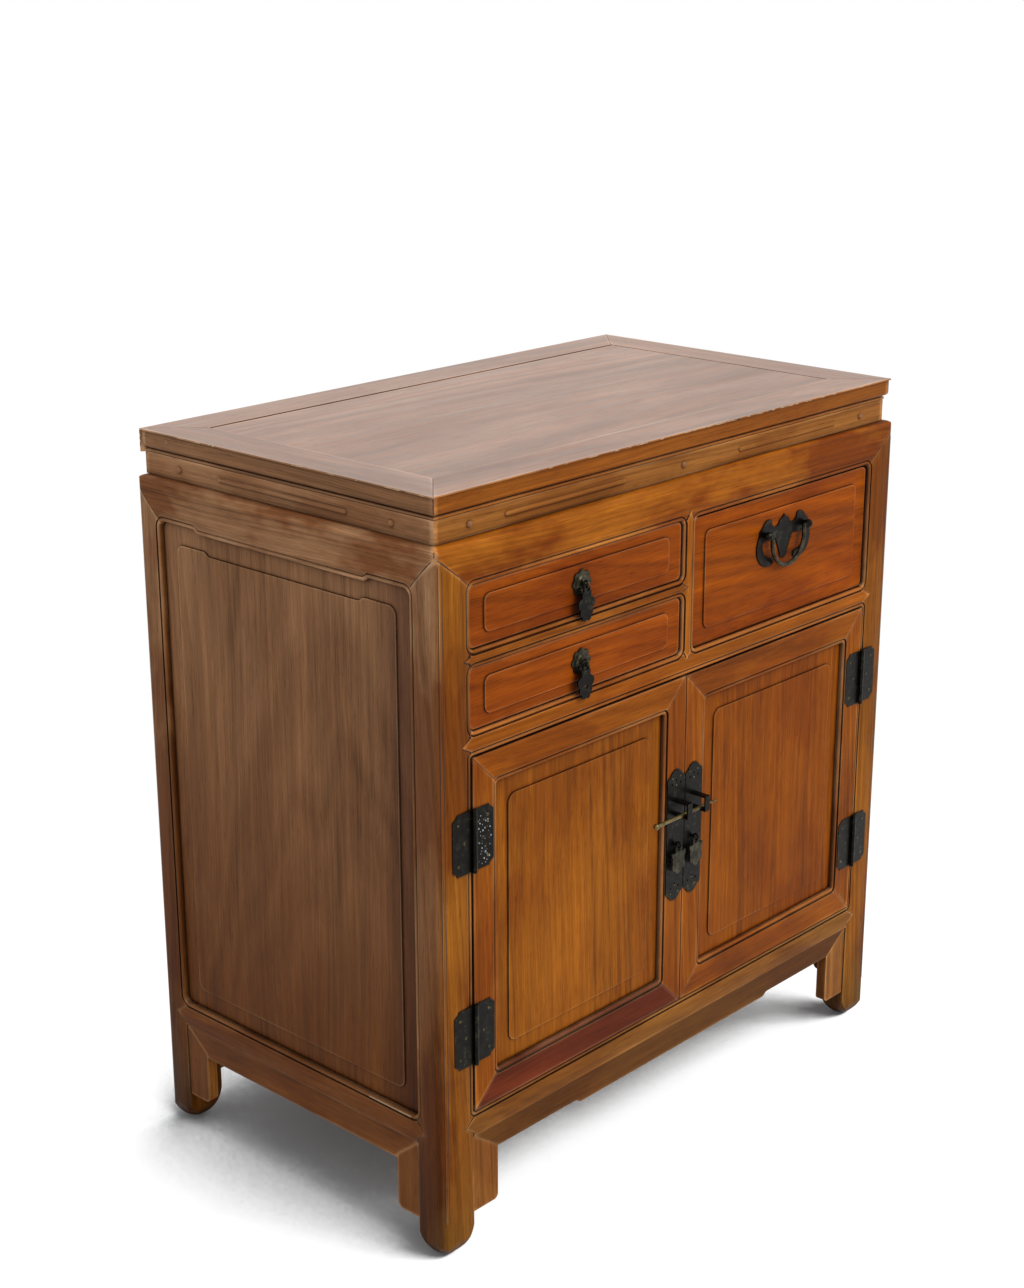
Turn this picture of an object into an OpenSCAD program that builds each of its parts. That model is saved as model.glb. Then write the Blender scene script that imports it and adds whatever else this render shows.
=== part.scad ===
// Side cabinet with three drawers over a two-door cupboard: mitred frame-and-panel joinery on four
// bullnosed legs, a recessed waist under a floating-panel top, and blackened brass hardware.
// Millimetres, +Z up, floor at z = 0, front towards -Y.

/* [Body plan] */
// Width of the body over the posts
body_w = 770; // [700:5:840]
// Depth of the body over the posts
body_d = 448; // [400:4:520]
// Width of a post seen from the front
post_w = 48; // [42:1:56]
// Width of a post seen from the side
post_d = 36; // [32:1:44]
// Width of the upright between the small drawers and the deep drawer
mullion_w = 20; // [16:1:28]

/* [Heights, floor upwards] */
// Floor to the underside of the front apron at its ends
leg_h = 103; // [90:1:130]
// Height of the front apron at its ends
apron_h = 27; // [22:1:36]
// Height of the bottom rails
bottom_rail_h = 29; // [26:1:36]
// Height of the door opening
door_zone_h = 393; // [340:1:440]
// Height of the rail between doors and drawers
middle_rail_h = 25; // [22:1:32]
// Height of the opening above the middle rail
drawer_zone_h = 149; // [132:1:180]
// Height of the rail between the two small drawers
divider_h = 18; // [15:1:24]
// Height of the top rails
top_rail_h = 45; // [42:1:56]
// Height of the waist
waist_h = 24; // [16:1:28]
// Thickness of the top
top_t = 25; // [22:1:30]

/* [Surfaces of the frame] */
// How far the middle of a post or rail stands proud of its edges
crown = 1.5; // [0.8:0.1:2]
// Radius of the body's upright corners
corner_r = 12; // [8:1:16]
// Radius of the shoulder along the top of the body
shoulder_r = 11; // [7:1:15]
// Height of the legs' round tips seen from the front
foot_h_wide = 26; // [16:1:34]
// Height of the legs' round tips seen from the side
foot_h_deep = 20; // [12:1:26]
// Height of the dome that rounds the legs' corners towards their tips
foot_dome_h = 36; // [28:1:38]
// Height on the corner where the top mitres meet
mitre_rise = 38; // [24:1:40]
// Radius of the bead along every opening
bead_r = 1.9; // [1.4:0.1:2.2]
// Depth of the sunk margin that carries the bead
margin_depth = 2.2; // [1.8:0.1:2.8]
// Width of that sunk margin
margin_w = 5.6; // [5:0.1:7]
// Corner radius of the drawer openings
drawer_open_r = 7; // [5:1:8]
// Corner radius of the door opening
door_open_r = 3; // [2:1:6]
// Corner radius of the side panel openings
side_open_r = 8; // [4:1:10]

/* [Rails] */
// Thickness of the front rails, front to back
rail_t = 30; // [24:1:32]
// Length of the pointed rail shoulders let into the posts
shoulder_tip = 13; // [8:1:16]
// Length of the smaller points of the divider and the mullion
small_tip = 9; // [6:1:9]
// Depth of the pointed shoulders
tip_depth = 8; // [6:1:12]
// Drop of the ogee step in the side rails and front apron
ogee_drop = 4.5; // [3:0.5:6]
// Length of the lowered middle of the side top rails
side_ogee_w = 246; // [200:2:280]
// Length of the lowered middle of the front apron
apron_ogee_w = 330; // [240:5:400]

/* [Aprons and brackets] */
// Thickness of aprons and brackets
apron_t = 13; // [10:1:16]
// How far aprons and brackets lie behind the posts' faces
apron_setback = 3; // [2:0.5:5]
// Width of the front brackets
bracket_w = 38; // [30:1:46]
// Width of the side brackets
bracket_side_w = 33; // [26:1:40]
// Floor to the underside of the brackets
bracket_foot = 40; // [30:1:56]
// Corner radius of the brackets and the apron ends
bracket_r = 6; // [4:1:9]

/* [Top and waist] */
// How far the body stands out past the top
top_setback = 5.5; // [3:0.5:8]
// Width of the top's frame members
top_frame_w = 52; // [44:1:62]
// Thickness of the top panel at its face
top_panel_t = 9; // [7:1:11]
// Depth of the groove round the top panel
top_groove = 9; // [6:1:12]
// Gap round the top panel
top_panel_gap = 0.8; // [0.4:0.1:1.5]
// Shrinkage gap along the back of the top panel
top_back_gap = 3; // [1:0.5:5]
// How far the waist lies behind the body's face
waist_setback = 11.5; // [11.5:0.5:16]
// How far the back board of the waist lies behind the body's back
waist_back_setback = 6.5; // [6:0.5:12]
// Thickness of the waist boards
waist_t = 20; // [14:1:24]
// Length of the raised bars on the front of the waist
waist_bar_w = 182; // [120:2:200]
// Length of the raised bar on each end of the waist
waist_side_bar_w = 195; // [120:5:240]
// Radius of the raised bars
waist_bar_r = 3.5; // [2.5:0.5:4.5]

/* [Panels and boards] */
// How far the side panels lie behind the posts' faces
side_recess = 7; // [5:0.5:9]
// Thickness of the side panels
side_panel_t = 9; // [7:1:12]
// Height of the raised field on panels and drawer fronts
field_h = 1.6; // [1:0.1:2.2]
// Margin between a side panel's edge and its raised field
side_field_margin = 23; // [16:1:30]
// Depth of the panel grooves
groove = 7; // [5:1:9]
// Play of a panel in its groove
groove_play = 0.2; // [0.1:0.1:0.5]
// Thickness of the back panel
back_panel_t = 9; // [7:1:12]
// How far the back panel lies behind the back rails' faces
back_recess = 8; // [6:1:12]
// Thickness of the cupboard floor
floor_t = 14; // [10:1:16]
// Thickness of the board between drawers and cupboard
dust_t = 14; // [10:1:16]
// Thickness of the partition behind the mullion
partition_t = 14; // [10:1:18]

/* [Doors] */
// Gap round each door
door_gap = 1.5; // [1:0.1:2]
// Thickness of the doors
door_t = 22; // [18:1:24]
// Width of the door frames' members
door_frame_w = 35; // [30:1:44]
// How far the door panels lie behind the door frames
door_recess = 6; // [4:0.5:8]
// Thickness of the door panels
door_panel_t = 8; // [6:1:10]
// Margin between a door panel's edge and its raised field
door_field_margin = 21; // [14:1:28]
// Corner radius of the raised fields
field_r = 10; // [6:1:14]

/* [Drawers] */
// Gap round each drawer front
drawer_gap = 1.2; // [0.8:0.1:1.6]
// Gap above the deep drawer
deep_drawer_top_gap = 3.2; // [1.6:0.1:4]
// Thickness of the drawer fronts
drawer_front_t = 20; // [16:1:24]
// How far the small drawers lie behind the frame
small_recess = 4; // [3:0.1:5]
// How far the deep drawer lies behind the frame
deep_recess = 5.6; // [3:0.1:7]
// Margin between a drawer front's edge and its raised field
drawer_field_margin = 21; // [12:1:26]
// Margin above and below the raised field of a small drawer
small_field_margin = 12; // [8:1:16]
// Thickness of the drawer sides
drawer_side_t = 10; // [8:1:14]
// Thickness of the drawer bottoms
drawer_bottom_t = 6; // [5:1:8]
// How far the drawer boxes are narrower than their fronts, each side
drawer_box_inset = 3.5; // [3.5:0.5:5]
// Running clearance under and beside the drawer boxes
drawer_play = 0.8; // [0.7:0.1:1.2]
// Length of the drawers, front to back
drawer_l = 380; // [320:5:385]
// How far below the front's top edge the drawer sides end
drawer_side_drop = 8; // [4:1:14]

/* [Hinges] */
// Height of the hinge plates
hinge_h = 66; // [50:2:80]
// Width of one hinge leaf from the pin outwards
hinge_leaf_w = 29; // [22:1:34]
// Thickness of the hinge plates
hinge_t = 1.2; // [0.8:0.1:1.6]
// Radius of the hinge barrels
barrel_r = 2.6; // [2.2:0.1:3.2]
// Radius of the hinge pins
hinge_pin_r = 1.2; // [0.9:0.1:1.5]
// Radial running clearance on the hinge pins
pin_play = 0.05; // [0.02:0.01:0.08]
// Gap between hinge knuckles
knuckle_gap = 0.4; // [0.3:0.1:0.6]
// Corner cut of the hinge plates
hinge_clip = 6; // [3:1:9]
// Door opening bottom to the middle of the lower hinge
hinge_low = 91; // [70:1:120]
// Middle of the upper hinge to the top of the door opening
hinge_high = 88; // [70:1:120]

/* [Lock] */
// Height of the lock plate
lock_h = 156; // [120:2:180]
// Width of each half of the lock plate
lock_w = 29.5; // [24:0.5:34]
// Door opening bottom to the bottom of the lock plate
lock_z = 131; // [100:1:160]
// Thickness of the lock plate
lock_t = 1.2; // [0.8:0.1:1.6]
// Radius of the side lobes at the lock plate's ends
lock_r = 6.5; // [5:0.5:8]
// How far the staples stand out from the lock plate
staple_reach = 20; // [16:1:24]
// Height of the staples
staple_h = 18; // [14:1:22]
// Width of the staples' strap
staple_w = 8; // [6:1:10]
// Thickness of the staples' strap
staple_t = 1.8; // [1.4:0.1:2.4]
// Distance of the staples from the meeting line
staple_x = 15.5; // [12:0.5:18]
// Bottom of the lock plate to the middle of the staples
staple_rise = 112; // [95:1:135]
// Length of the latch pin
latch_l = 105; // [90:1:130]
// Radius of the latch pin
latch_r = 2.2; // [2:0.1:3.2]
// Radius of the latch pin's thin tip
latch_tip_r = 1.1; // [1:0.1:1.8]
// Length of the latch pin's thin tip
latch_tip_l = 20; // [16:1:24]
// Where the latch pin's head lies, left of the meeting line
latch_head_x = 65; // [50:1:70]
// Radius of the ball on the latch pin's head
latch_ball_r = 3.6; // [3.4:0.1:4.4]
// Lock plate to the middle of the latch pin
latch_out = 13; // [9:0.5:14]

/* [Pulls] */
// Radius of the eye rings that carry the drop pulls
eye_r = 3.2; // [2.8:0.1:4]
// Radius of the wire of the eye rings
eye_wire = 1.1; // [0.9:0.1:1.3]
// Radius of the wire of the pulls' own loops
loop_wire = 1.3; // [1.1:0.1:1.4]
// Radius of the pulls' own loops
loop_r = 4.2; // [3.6:0.1:5]
// Bottom of the lock plate to the eyes of the door pulls
door_pull_rise = 68; // [60:1:76]
// Width of the door pulls
door_pull_w = 23; // [18:1:25]
// Height of the door pulls' plates
door_pull_h = 21; // [18:1:30]
// Thickness of the pulls' plates
pull_t = 1.8; // [1.2:0.1:2.4]
// Radius of the drawer rosettes to the middle of their lobes
rosette_r = 10.5; // [9:0.5:12]
// Radius of a rosette's lobe
lobe_r = 3.8; // [3:0.1:5]
// Thickness of the rosettes
rosette_t = 1.4; // [1:0.1:2]
// Length of the pendants' plates
pendant_h = 30; // [27:1:36]
// Width of the pendants' plates
pendant_w = 25; // [20:1:30]
// Middle of a small drawer opening to the pendant's eye
pendant_rise = 0; // [-4:1:8]

/* [Bail handle] */
// Distance between the bail's posts
bail_span = 75; // [66:1:80]
// Radius of the bail's rod
bail_rod_r = 2.4; // [2:0.1:3]
// Radius of the balls on the bail's posts
bail_ball_r = 5; // [4:0.1:6]
// Radius of the bail's pivot ends
bail_end_r = 1.6; // [1.2:0.1:1.9]
// Deep drawer opening bottom to the bail's pivots
bail_rise = 103; // [80:1:110]
// Length of the bail's straight ends below its pivots
bail_drop = 10; // [0:0.5:12]
// Thickness of the bat-shaped plate
bat_t = 1.4; // [1:0.1:2]
// Drawer face to the bail's pivots
bail_out = 7.5; // [7:0.5:12]

/* [Hidden] */
$fn = 48;
// Facets of the very flat arcs across posts and rails
crown_fn = 360;
// A cut reaches this far past what it cuts
past = 1;
foot_past = 0.1;
// Radius of a leg tip's arcs, as a share of its height
foot_bend = 1.2;
// How far that dome's lowest point lies under the floor
foot_sink = 0.4;
// A bead's lower arc runs this far round and is this much thinner than the upper one
bead_sweep = 46;
bead_slip = 0.02;

// Levels, from the floor up
z_bottom_rail = leg_h + apron_h;
z_door = z_bottom_rail + bottom_rail_h;
z_middle = z_door + door_zone_h;
z_drawers = z_middle + middle_rail_h;
z_top_rail = z_drawers + drawer_zone_h;
z_waist = z_top_rail + top_rail_h;
z_top = z_waist + waist_h;
height = z_top + top_t;
small_h = (drawer_zone_h - divider_h) / 2;
z_divider = z_drawers + small_h;
mitre_z = z_top_rail + mitre_rise;
apron_low = leg_h - ogee_drop;

// Plan; the frontmost point is the face of the staples, and the origin lies below the middle of all
hardware_reach = lock_t + staple_reach;
front_y = (hardware_reach - body_d) / 2;
back_y = front_y + body_d;
mid_y = (front_y + back_y) / 2;
inner_x = body_w / 2 - post_w;
half_mullion = mullion_w / 2;
column_w = inner_x - half_mullion;
side_w = body_d - 2 * post_d;
side_h = z_top_rail - z_door;
top_w = body_w - 2 * top_setback;
top_d = body_d - 2 * top_setback;
bead_off = bead_r + 0.25;
// The beads' centre lines lie this far below the sunk margins
bead_sink = 0.4;
bead_floor = margin_depth + bead_sink;

// Openings in a face: left edge, lower edge, width, height, corner radius
upper_opening = [-inner_x, z_divider + divider_h, column_w, small_h, drawer_open_r];
lower_opening = [-inner_x, z_drawers, column_w, small_h, drawer_open_r];
deep_opening = [half_mullion, z_drawers, column_w, drawer_zone_h, drawer_open_r];
door_opening = [-inner_x, z_door, 2 * inner_x, door_zone_h, door_open_r];
side_opening = [-side_w / 2, z_door, side_w, side_h, side_open_r];

function crown_radius(w) = (pow(w / 2, 2) + pow(crown, 2)) / (2 * crown);

// An ogee made of two eighth turns: its radius and its length for the drop
ogee_r = ogee_drop / (2 * (1 - cos(45)));
ogee_l = 2 * ogee_r * sin(45);
ogee_steps = 6;

// Faces of the body: local x runs right, y up, and z out of the face
module on_front() {
    translate([0, front_y, 0]) rotate([90, 0, 0]) children();
}

module on_left() {
    translate([-body_w / 2, mid_y, 0]) rotate([90, 0, -90]) children();
}

module on_back() {
    translate([0, back_y, 0]) rotate([90, 0, 180]) children();
}

module both_sides() {
    children();
    mirror([1, 0, 0]) children();
}

// A rectangle from the origin with round corners
module rounded_rect(w, h, r) {
    translate([r, 0]) square([w - 2 * r, h]);
    translate([0, r]) square([w, h - 2 * r]);
    for (x = [r, w - r], y = [r, h - r]) translate([x, y]) circle(r);
}

// A rectangle that narrows to its foot in two arcs, for the tips of the legs: a hair wider than
// the leg, so that its arcs meet the leg's sides at a slight angle
module round_foot(w, h, rise) {
    r = foot_bend * rise;
    translate([-foot_past, rise]) square([w + 2 * foot_past, h - rise]);
    intersection() {
        translate([-foot_past, 0]) square([w + 2 * foot_past, rise + past]);
        translate([r - foot_past, rise]) circle(r);
        translate([w - r + foot_past, rise]) circle(r);
    }
}

// A dome just wider than a leg's corners, opening into a box above
module foot_dome() {
    r = norm([post_w, post_d]) / 2 + foot_past;
    translate([post_w / 2, post_d / 2, foot_dome_h - foot_sink]) {
        scale([1, 1, foot_dome_h / r]) sphere(r);
        translate([-post_w, -post_d, 0]) cube([2 * post_w, 2 * post_d, z_waist]);
    }
}

// The lowered middle of a rail or apron, hanging below y = 0 with an ogee at each end
function ogee_points(w) = [
    for (i = [0:ogee_steps]) [ogee_l + w / 2 - ogee_r * sin(45 * i / ogee_steps),
        -ogee_r * (1 - cos(45 * i / ogee_steps))],
    for (i = [ogee_steps:-1:0]) [w / 2 + ogee_r * sin(45 * i / ogee_steps),
        -ogee_drop + ogee_r * (1 - cos(45 * i / ogee_steps))]
];

module ogee_lip(w) {
    right = ogee_points(w);
    half = right[0].x;
    polygon(concat([[half, past]], right, [for (i = [len(right) - 1:-1:0]) [-right[i].x, right[i].y]],
        [[-half, past]]));
}

// Half a bead's ogee, the bead lying above the edge that steps down to the left.
// Its lower arc is a hair thinner and runs on a degree into the upper one.
module ogee_bead() {
    translate([ogee_l, -ogee_r, 0]) rotate([0, 0, 90])
        rotate_extrude(angle = 45) translate([ogee_r + bead_off, 0]) circle(bead_r);
    translate([0, ogee_r - ogee_drop, 0]) rotate([0, 0, -90])
        rotate_extrude(angle = bead_sweep) translate([ogee_r - bead_off, 0]) circle(bead_r - bead_slip);
}

// Section of a rail: x runs inwards from the face, y up
module rail_section(h, depth, shoulder = 0) {
    difference() {
        intersection() {
            square([depth, h]);
            translate([crown_radius(h), h / 2]) circle(crown_radius(h), $fn = crown_fn);
        }
        if (shoulder > 0) translate([0, h - shoulder]) difference() {
            translate([-past, 0]) square([shoulder + past, shoulder + past]);
            translate([shoulder, 0]) circle(shoulder);
        }
    }
}

// A length of rail in a face, from x = 0, its face at z = 0
module rail_length(l, h, depth, shoulder = 0) {
    rotate([0, 90, 0]) linear_extrude(l) rail_section(h, depth, shoulder);
}

// The sunk margin round an opening
module margin_cut(o) {
    translate([o[0] - margin_w, o[1] - margin_w, -margin_depth]) linear_extrude(margin_depth + past)
        rounded_rect(o[2] + 2 * margin_w, o[3] + 2 * margin_w, o[4] + margin_w);
}

// One side of an opening's bead with the round corners' halves: the opening lies above y = 0
module bead_run(l, r, depth) {
    translate([0, 0, -bead_floor]) {
        translate([r, -bead_off, 0]) rotate([0, 90, 0]) cylinder(r = bead_r, h = l - 2 * r);
        translate([r, r, 0]) mirror([1, 0, 0]) bead_corner(r);
        translate([l - r, r, 0]) bead_corner(r);
    }
    corner_fill(r, depth);
    translate([l, 0, 0]) mirror([1, 0, 0]) corner_fill(r, depth);
}

// Half a round corner of a bead, up to the mitre line
module bead_corner(r) {
    rotate([0, 0, -90]) rotate_extrude(angle = 45) translate([r + bead_off, 0]) circle(bead_r);
}

// What rounds one corner of an opening, up to the mitre line
module corner_fill(r, depth) {
    translate([0, 0, -depth]) linear_extrude(depth - margin_depth) difference() {
        polygon([[0, 0], [r, r], [r, 0]]);
        translate([r, r]) circle(r);
    }
}

module bead_below(o, depth) {
    translate([o[0], o[1], 0]) bead_run(o[2], o[4], depth);
}

module bead_above(o, depth) {
    translate([o[0] + o[2], o[1] + o[3], 0]) rotate([0, 0, 180]) bead_run(o[2], o[4], depth);
}

module bead_right(o, depth) {
    translate([o[0] + o[2], o[1], 0]) rotate([0, 0, 90]) bead_run(o[3], o[4], depth);
}

module bead_left(o, depth) {
    translate([o[0], o[1] + o[3], 0]) rotate([0, 0, 270]) bead_run(o[3], o[4], depth);
}

// The pointed shoulder at the right end of a rail of height h
module point(h, tip) {
    low = margin_w - past * (h / 2 - margin_w) / tip;
    translate([0, 0, -tip_depth]) linear_extrude(tip_depth + past)
        polygon([[-past, low], [tip, h / 2], [-past, h - low]]);
}

// The points of the front rails, cut out of the right-hand post
module front_points() {
    translate([inner_x, z_bottom_rail, 0]) point(bottom_rail_h, shoulder_tip);
    translate([inner_x, z_middle, 0]) point(middle_rail_h, shoulder_tip);
}

// The divider's point in the left-hand post
module divider_point() {
    translate([-inner_x, z_divider, 0]) mirror([1, 0, 0]) point(divider_h, small_tip);
}

// Everything in the corner of the body above the top mitres, outer corner at the origin
module mitre_zone() {
    intersection() {
        linear_extrude(height) polygon([[-past, -past], [post_w + past, -past],
            [post_w + past, post_d + past], [post_d + past, post_d + past]]);
        translate([0, post_d + 2 * past, 0]) rotate([90, 0, 0]) linear_extrude(post_d + 4 * past)
            polygon([[-past, mitre_z + past * mitre_rise / post_w], [post_w, z_top_rail],
                [post_w + past, z_top_rail], [post_w + past, height], [-past, height]]);
    }
    intersection() {
        linear_extrude(height) polygon([[-past, -past], [post_d + past, post_d + past],
            [-past, post_d + past]]);
        translate([-2 * past, 0, 0]) rotate([90, 0, 90]) linear_extrude(post_w + 4 * past)
            polygon([[-past, mitre_z + past * mitre_rise / post_d], [post_d, z_top_rail],
                [post_d + past, z_top_rail], [post_d + past, height], [-past, height]]);
    }
}

// A post with its outer corner at the origin, growing along +X and +Y
module post_blank(crowned_front) {
    difference() {
        intersection() {
            linear_extrude(z_waist) difference() {
                intersection() {
                    square([post_w, post_d]);
                    translate([crown_radius(post_d), post_d / 2])
                        circle(crown_radius(post_d), $fn = crown_fn);
                    if (crowned_front) translate([post_w / 2, crown_radius(post_w)])
                        circle(crown_radius(post_w), $fn = crown_fn);
                    else square([post_w, post_d]);
                }
                difference() {
                    translate([-past, -past]) square(corner_r + past);
                    translate([corner_r, corner_r]) circle(corner_r);
                }
            }
            translate([0, post_d, 0]) rotate([90, 0, 0]) linear_extrude(post_d)
                round_foot(post_w, z_waist, foot_h_wide);
            rotate([90, 0, 90]) linear_extrude(post_w)
                round_foot(post_d, z_waist, foot_h_deep);
            foot_dome();
        }
        mitre_zone();
    }
}

// Side and back panels with the play of their grooves, as cuts
module side_groove() {
    on_left() translate([-side_w / 2 - groove, z_door - groove, -side_recess - side_panel_t])
        cube([side_w + 2 * groove, side_h + 2 * groove, side_panel_t + groove_play]);
}

module back_groove() {
    on_back() translate([-inner_x - groove, z_door - groove, -back_recess - back_panel_t])
        cube([2 * inner_x + 2 * groove, side_h + 2 * groove, back_panel_t + groove_play]);
}

module side_bead_up() {
    on_left() bead_right(side_opening, side_recess);
}

module post_front_left() {
    difference() {
        translate([-body_w / 2, front_y, 0]) post_blank(true);
        side_groove();
        on_left() margin_cut(side_opening);
        on_left() translate([side_w / 2, z_bottom_rail, 0]) point(bottom_rail_h, shoulder_tip);
        on_front() {
            margin_cut(door_opening);
            margin_cut(upper_opening);
            margin_cut(lower_opening);
            mirror([1, 0, 0]) front_points();
            divider_point();
        }
        hinge_seats();
    }
    side_bead_up();
    on_front() for (o = [upper_opening, lower_opening, door_opening]) bead_left(o, rail_t);
}

module post_front_right() {
    difference() {
        mirror([1, 0, 0]) difference() {
            translate([-body_w / 2, front_y, 0]) post_blank(true);
            side_groove();
            on_left() margin_cut(side_opening);
            on_left() translate([side_w / 2, z_bottom_rail, 0]) point(bottom_rail_h, shoulder_tip);
            hinge_seats();
        }
        on_front() {
            margin_cut(door_opening);
            margin_cut(deep_opening);
            front_points();
        }
    }
    mirror([1, 0, 0]) side_bead_up();
    on_front() for (o = [deep_opening, door_opening]) bead_right(o, rail_t);
}

module posts_front() {
    color("peru") {
        post_front_left();
        post_front_right();
    }
}

module post_back_left() {
    difference() {
        translate([-body_w / 2, back_y, 0]) mirror([0, 1, 0]) post_blank(false);
        side_groove();
        back_groove();
        on_left() margin_cut(side_opening);
        on_left() mirror([1, 0, 0]) translate([side_w / 2, z_bottom_rail, 0])
            point(bottom_rail_h, shoulder_tip);
    }
    on_left() bead_left(side_opening, side_recess);
}

module posts_back() {
    color("saddlebrown") both_sides() post_back_left();
}

// A top rail over the whole width w of a face, mitred in plan and down to the posts
module top_rail_blank(w, post, depth) {
    intersection() {
        translate([-w / 2, z_top_rail, 0]) rail_length(w, top_rail_h, depth, shoulder_r);
        translate([0, 0, -depth - past]) linear_extrude(depth + 2 * past)
            polygon([[-w / 2, mitre_z], [-w / 2, z_waist], [w / 2, z_waist], [w / 2, mitre_z],
                [w / 2 - post, z_top_rail], [-w / 2 + post, z_top_rail]]);
        translate([0, z_top_rail - past, 0]) rotate([-90, 0, 0]) linear_extrude(top_rail_h + 2 * past)
            polygon([[-w / 2, 0], [w / 2, 0], [w / 2 - depth, depth], [-w / 2 + depth, depth]]);
    }
}

// The body's plan with its round corners, to round the ends of the top rails
module body_corners() {
    translate([-body_w / 2, front_y, z_top_rail]) linear_extrude(top_rail_h)
        rounded_rect(body_w, body_d, corner_r);
}

module top_rail_front() {
    color("peru") {
        difference() {
            intersection() {
                on_front() top_rail_blank(body_w, post_w, post_d);
                body_corners();
            }
            on_front() {
                margin_cut(upper_opening);
                margin_cut(deep_opening);
                translate([half_mullion, z_top_rail, 0]) rotate([0, 0, 90]) point(mullion_w, small_tip);
            }
        }
        on_front() {
            bead_above(upper_opening, post_d);
            bead_above(deep_opening, post_d);
        }
    }
}

module top_rail_back() {
    color("saddlebrown") difference() {
        intersection() {
            on_back() top_rail_blank(body_w, post_w, post_d);
            body_corners();
        }
        back_groove();
    }
}

// The lowered middle of a side top rail with its bead
module side_rail_lip() {
    difference() {
        translate([0, z_top_rail, -post_d]) linear_extrude(post_d - margin_depth) ogee_lip(side_ogee_w);
        translate([-side_w / 2, z_door, -side_recess - side_panel_t])
            cube([side_w, side_h, side_panel_t + groove_play]);
    }
}

// The bead under a side top rail: two outer lengths, two ogees and the lowered middle
module side_rail_bead() {
    step_x = side_ogee_w / 2;
    outer_l = side_w / 2 - step_x - ogee_l - side_open_r;
    translate([0, z_top_rail, -bead_floor]) {
        translate([-step_x, bead_off - ogee_drop, 0]) rotate([0, 90, 0])
            cylinder(r = bead_r, h = side_ogee_w);
        for (m = [0, 1]) mirror([m, 0, 0]) {
            translate([step_x + ogee_l, bead_off, 0]) rotate([0, 90, 0]) cylinder(r = bead_r, h = outer_l);
            translate([step_x, 0, 0]) ogee_bead();
            translate([side_w / 2 - side_open_r, -side_open_r, 0]) mirror([0, 1, 0])
                bead_corner(side_open_r);
            translate([side_w / 2, 0, bead_floor]) rotate([0, 0, 180])
                corner_fill(side_open_r, side_recess);
        }
    }
}

module top_rail_left() {
    difference() {
        intersection() {
            on_left() top_rail_blank(body_d, post_d, post_d);
            body_corners();
        }
        side_groove();
        on_left() difference() {
            margin_cut(side_opening);
            translate([0, z_top_rail + margin_w, -margin_depth - past])
                linear_extrude(margin_depth + 3 * past) ogee_lip(side_ogee_w);
        }
    }
    difference() {
        on_left() side_rail_lip();
        side_groove();
    }
    on_left() side_rail_bead();
}

module top_rails_side() {
    color("saddlebrown") both_sides() top_rail_left();
}

// A rail between two posts with a pointed shoulder at each end, its lower edge at y = 0
module pointed_rail(l, h, tip, depth) {
    intersection() {
        translate([-l / 2 - tip, 0, 0]) rail_length(l + 2 * tip, h, depth);
        union() {
            translate([-l / 2, -past, -depth - past]) cube([l, h + 2 * past, depth + 2 * past]);
            for (m = [0, 1]) mirror([m, 0, 0]) translate([l / 2, 0, 0]) point(h, tip);
        }
    }
}

module bottom_rail_front() {
    color("peru") {
        difference() {
            on_front() translate([0, z_bottom_rail, 0])
                pointed_rail(2 * inner_x, bottom_rail_h, shoulder_tip, rail_t);
            on_front() margin_cut(door_opening);
            on_front() translate([-inner_x, z_bottom_rail - past, -margin_depth])
                cube([2 * inner_x, margin_w + past, 2 * margin_depth]);
            floor_groove();
        }
        on_front() bead_below(door_opening, rail_t);
        on_front() translate([-inner_x, z_bottom_rail + bead_off, -bead_floor]) rotate([0, 90, 0])
            cylinder(r = bead_r, h = 2 * inner_x);
    }
}

module bottom_rail_back() {
    color("saddlebrown") difference() {
        on_back() translate([-inner_x, z_bottom_rail, -rail_t]) cube([2 * inner_x, bottom_rail_h, rail_t]);
        back_groove();
        floor_groove();
    }
}

module bottom_rail_left() {
    difference() {
        on_left() translate([0, z_bottom_rail, 0])
            pointed_rail(side_w, bottom_rail_h, shoulder_tip, rail_t);
        side_groove();
        on_left() margin_cut(side_opening);
        on_left() translate([-side_w / 2, z_bottom_rail - past, -margin_depth])
            cube([side_w, margin_w + past, 2 * margin_depth]);
        floor_groove();
    }
    on_left() bead_below(side_opening, side_recess);
    on_left() translate([-side_w / 2, z_bottom_rail + bead_off, -bead_floor]) rotate([0, 90, 0])
        cylinder(r = bead_r, h = side_w);
}

module bottom_rails_side() {
    color("saddlebrown") both_sides() bottom_rail_left();
}

module middle_rail() {
    color("peru") {
        difference() {
            on_front() translate([0, z_middle, 0])
                pointed_rail(2 * inner_x, middle_rail_h, shoulder_tip, rail_t);
            on_front() {
                margin_cut(door_opening);
                margin_cut(lower_opening);
                margin_cut(deep_opening);
                translate([-half_mullion, z_drawers, 0]) rotate([0, 0, -90]) point(mullion_w, small_tip);
            }
        }
        on_front() {
            bead_above(door_opening, rail_t);
            bead_below(lower_opening, rail_t);
            bead_below(deep_opening, rail_t);
        }
    }
}

module divider_rail() {
    color("peru") {
        difference() {
            on_front() intersection() {
                translate([-inner_x - small_tip, z_divider, 0])
                    rail_length(column_w + 2 * small_tip, divider_h, rail_t);
                union() {
                    translate([-inner_x, z_divider - past, -rail_t - past])
                        cube([column_w, divider_h + 2 * past, rail_t + 2 * past]);
                    divider_point();
                    translate([-half_mullion, z_divider, 0]) point(divider_h, small_tip);
                }
            }
            on_front() {
                margin_cut(upper_opening);
                margin_cut(lower_opening);
            }
        }
        on_front() {
            bead_below(upper_opening, rail_t);
            bead_above(lower_opening, rail_t);
        }
    }
}

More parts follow.
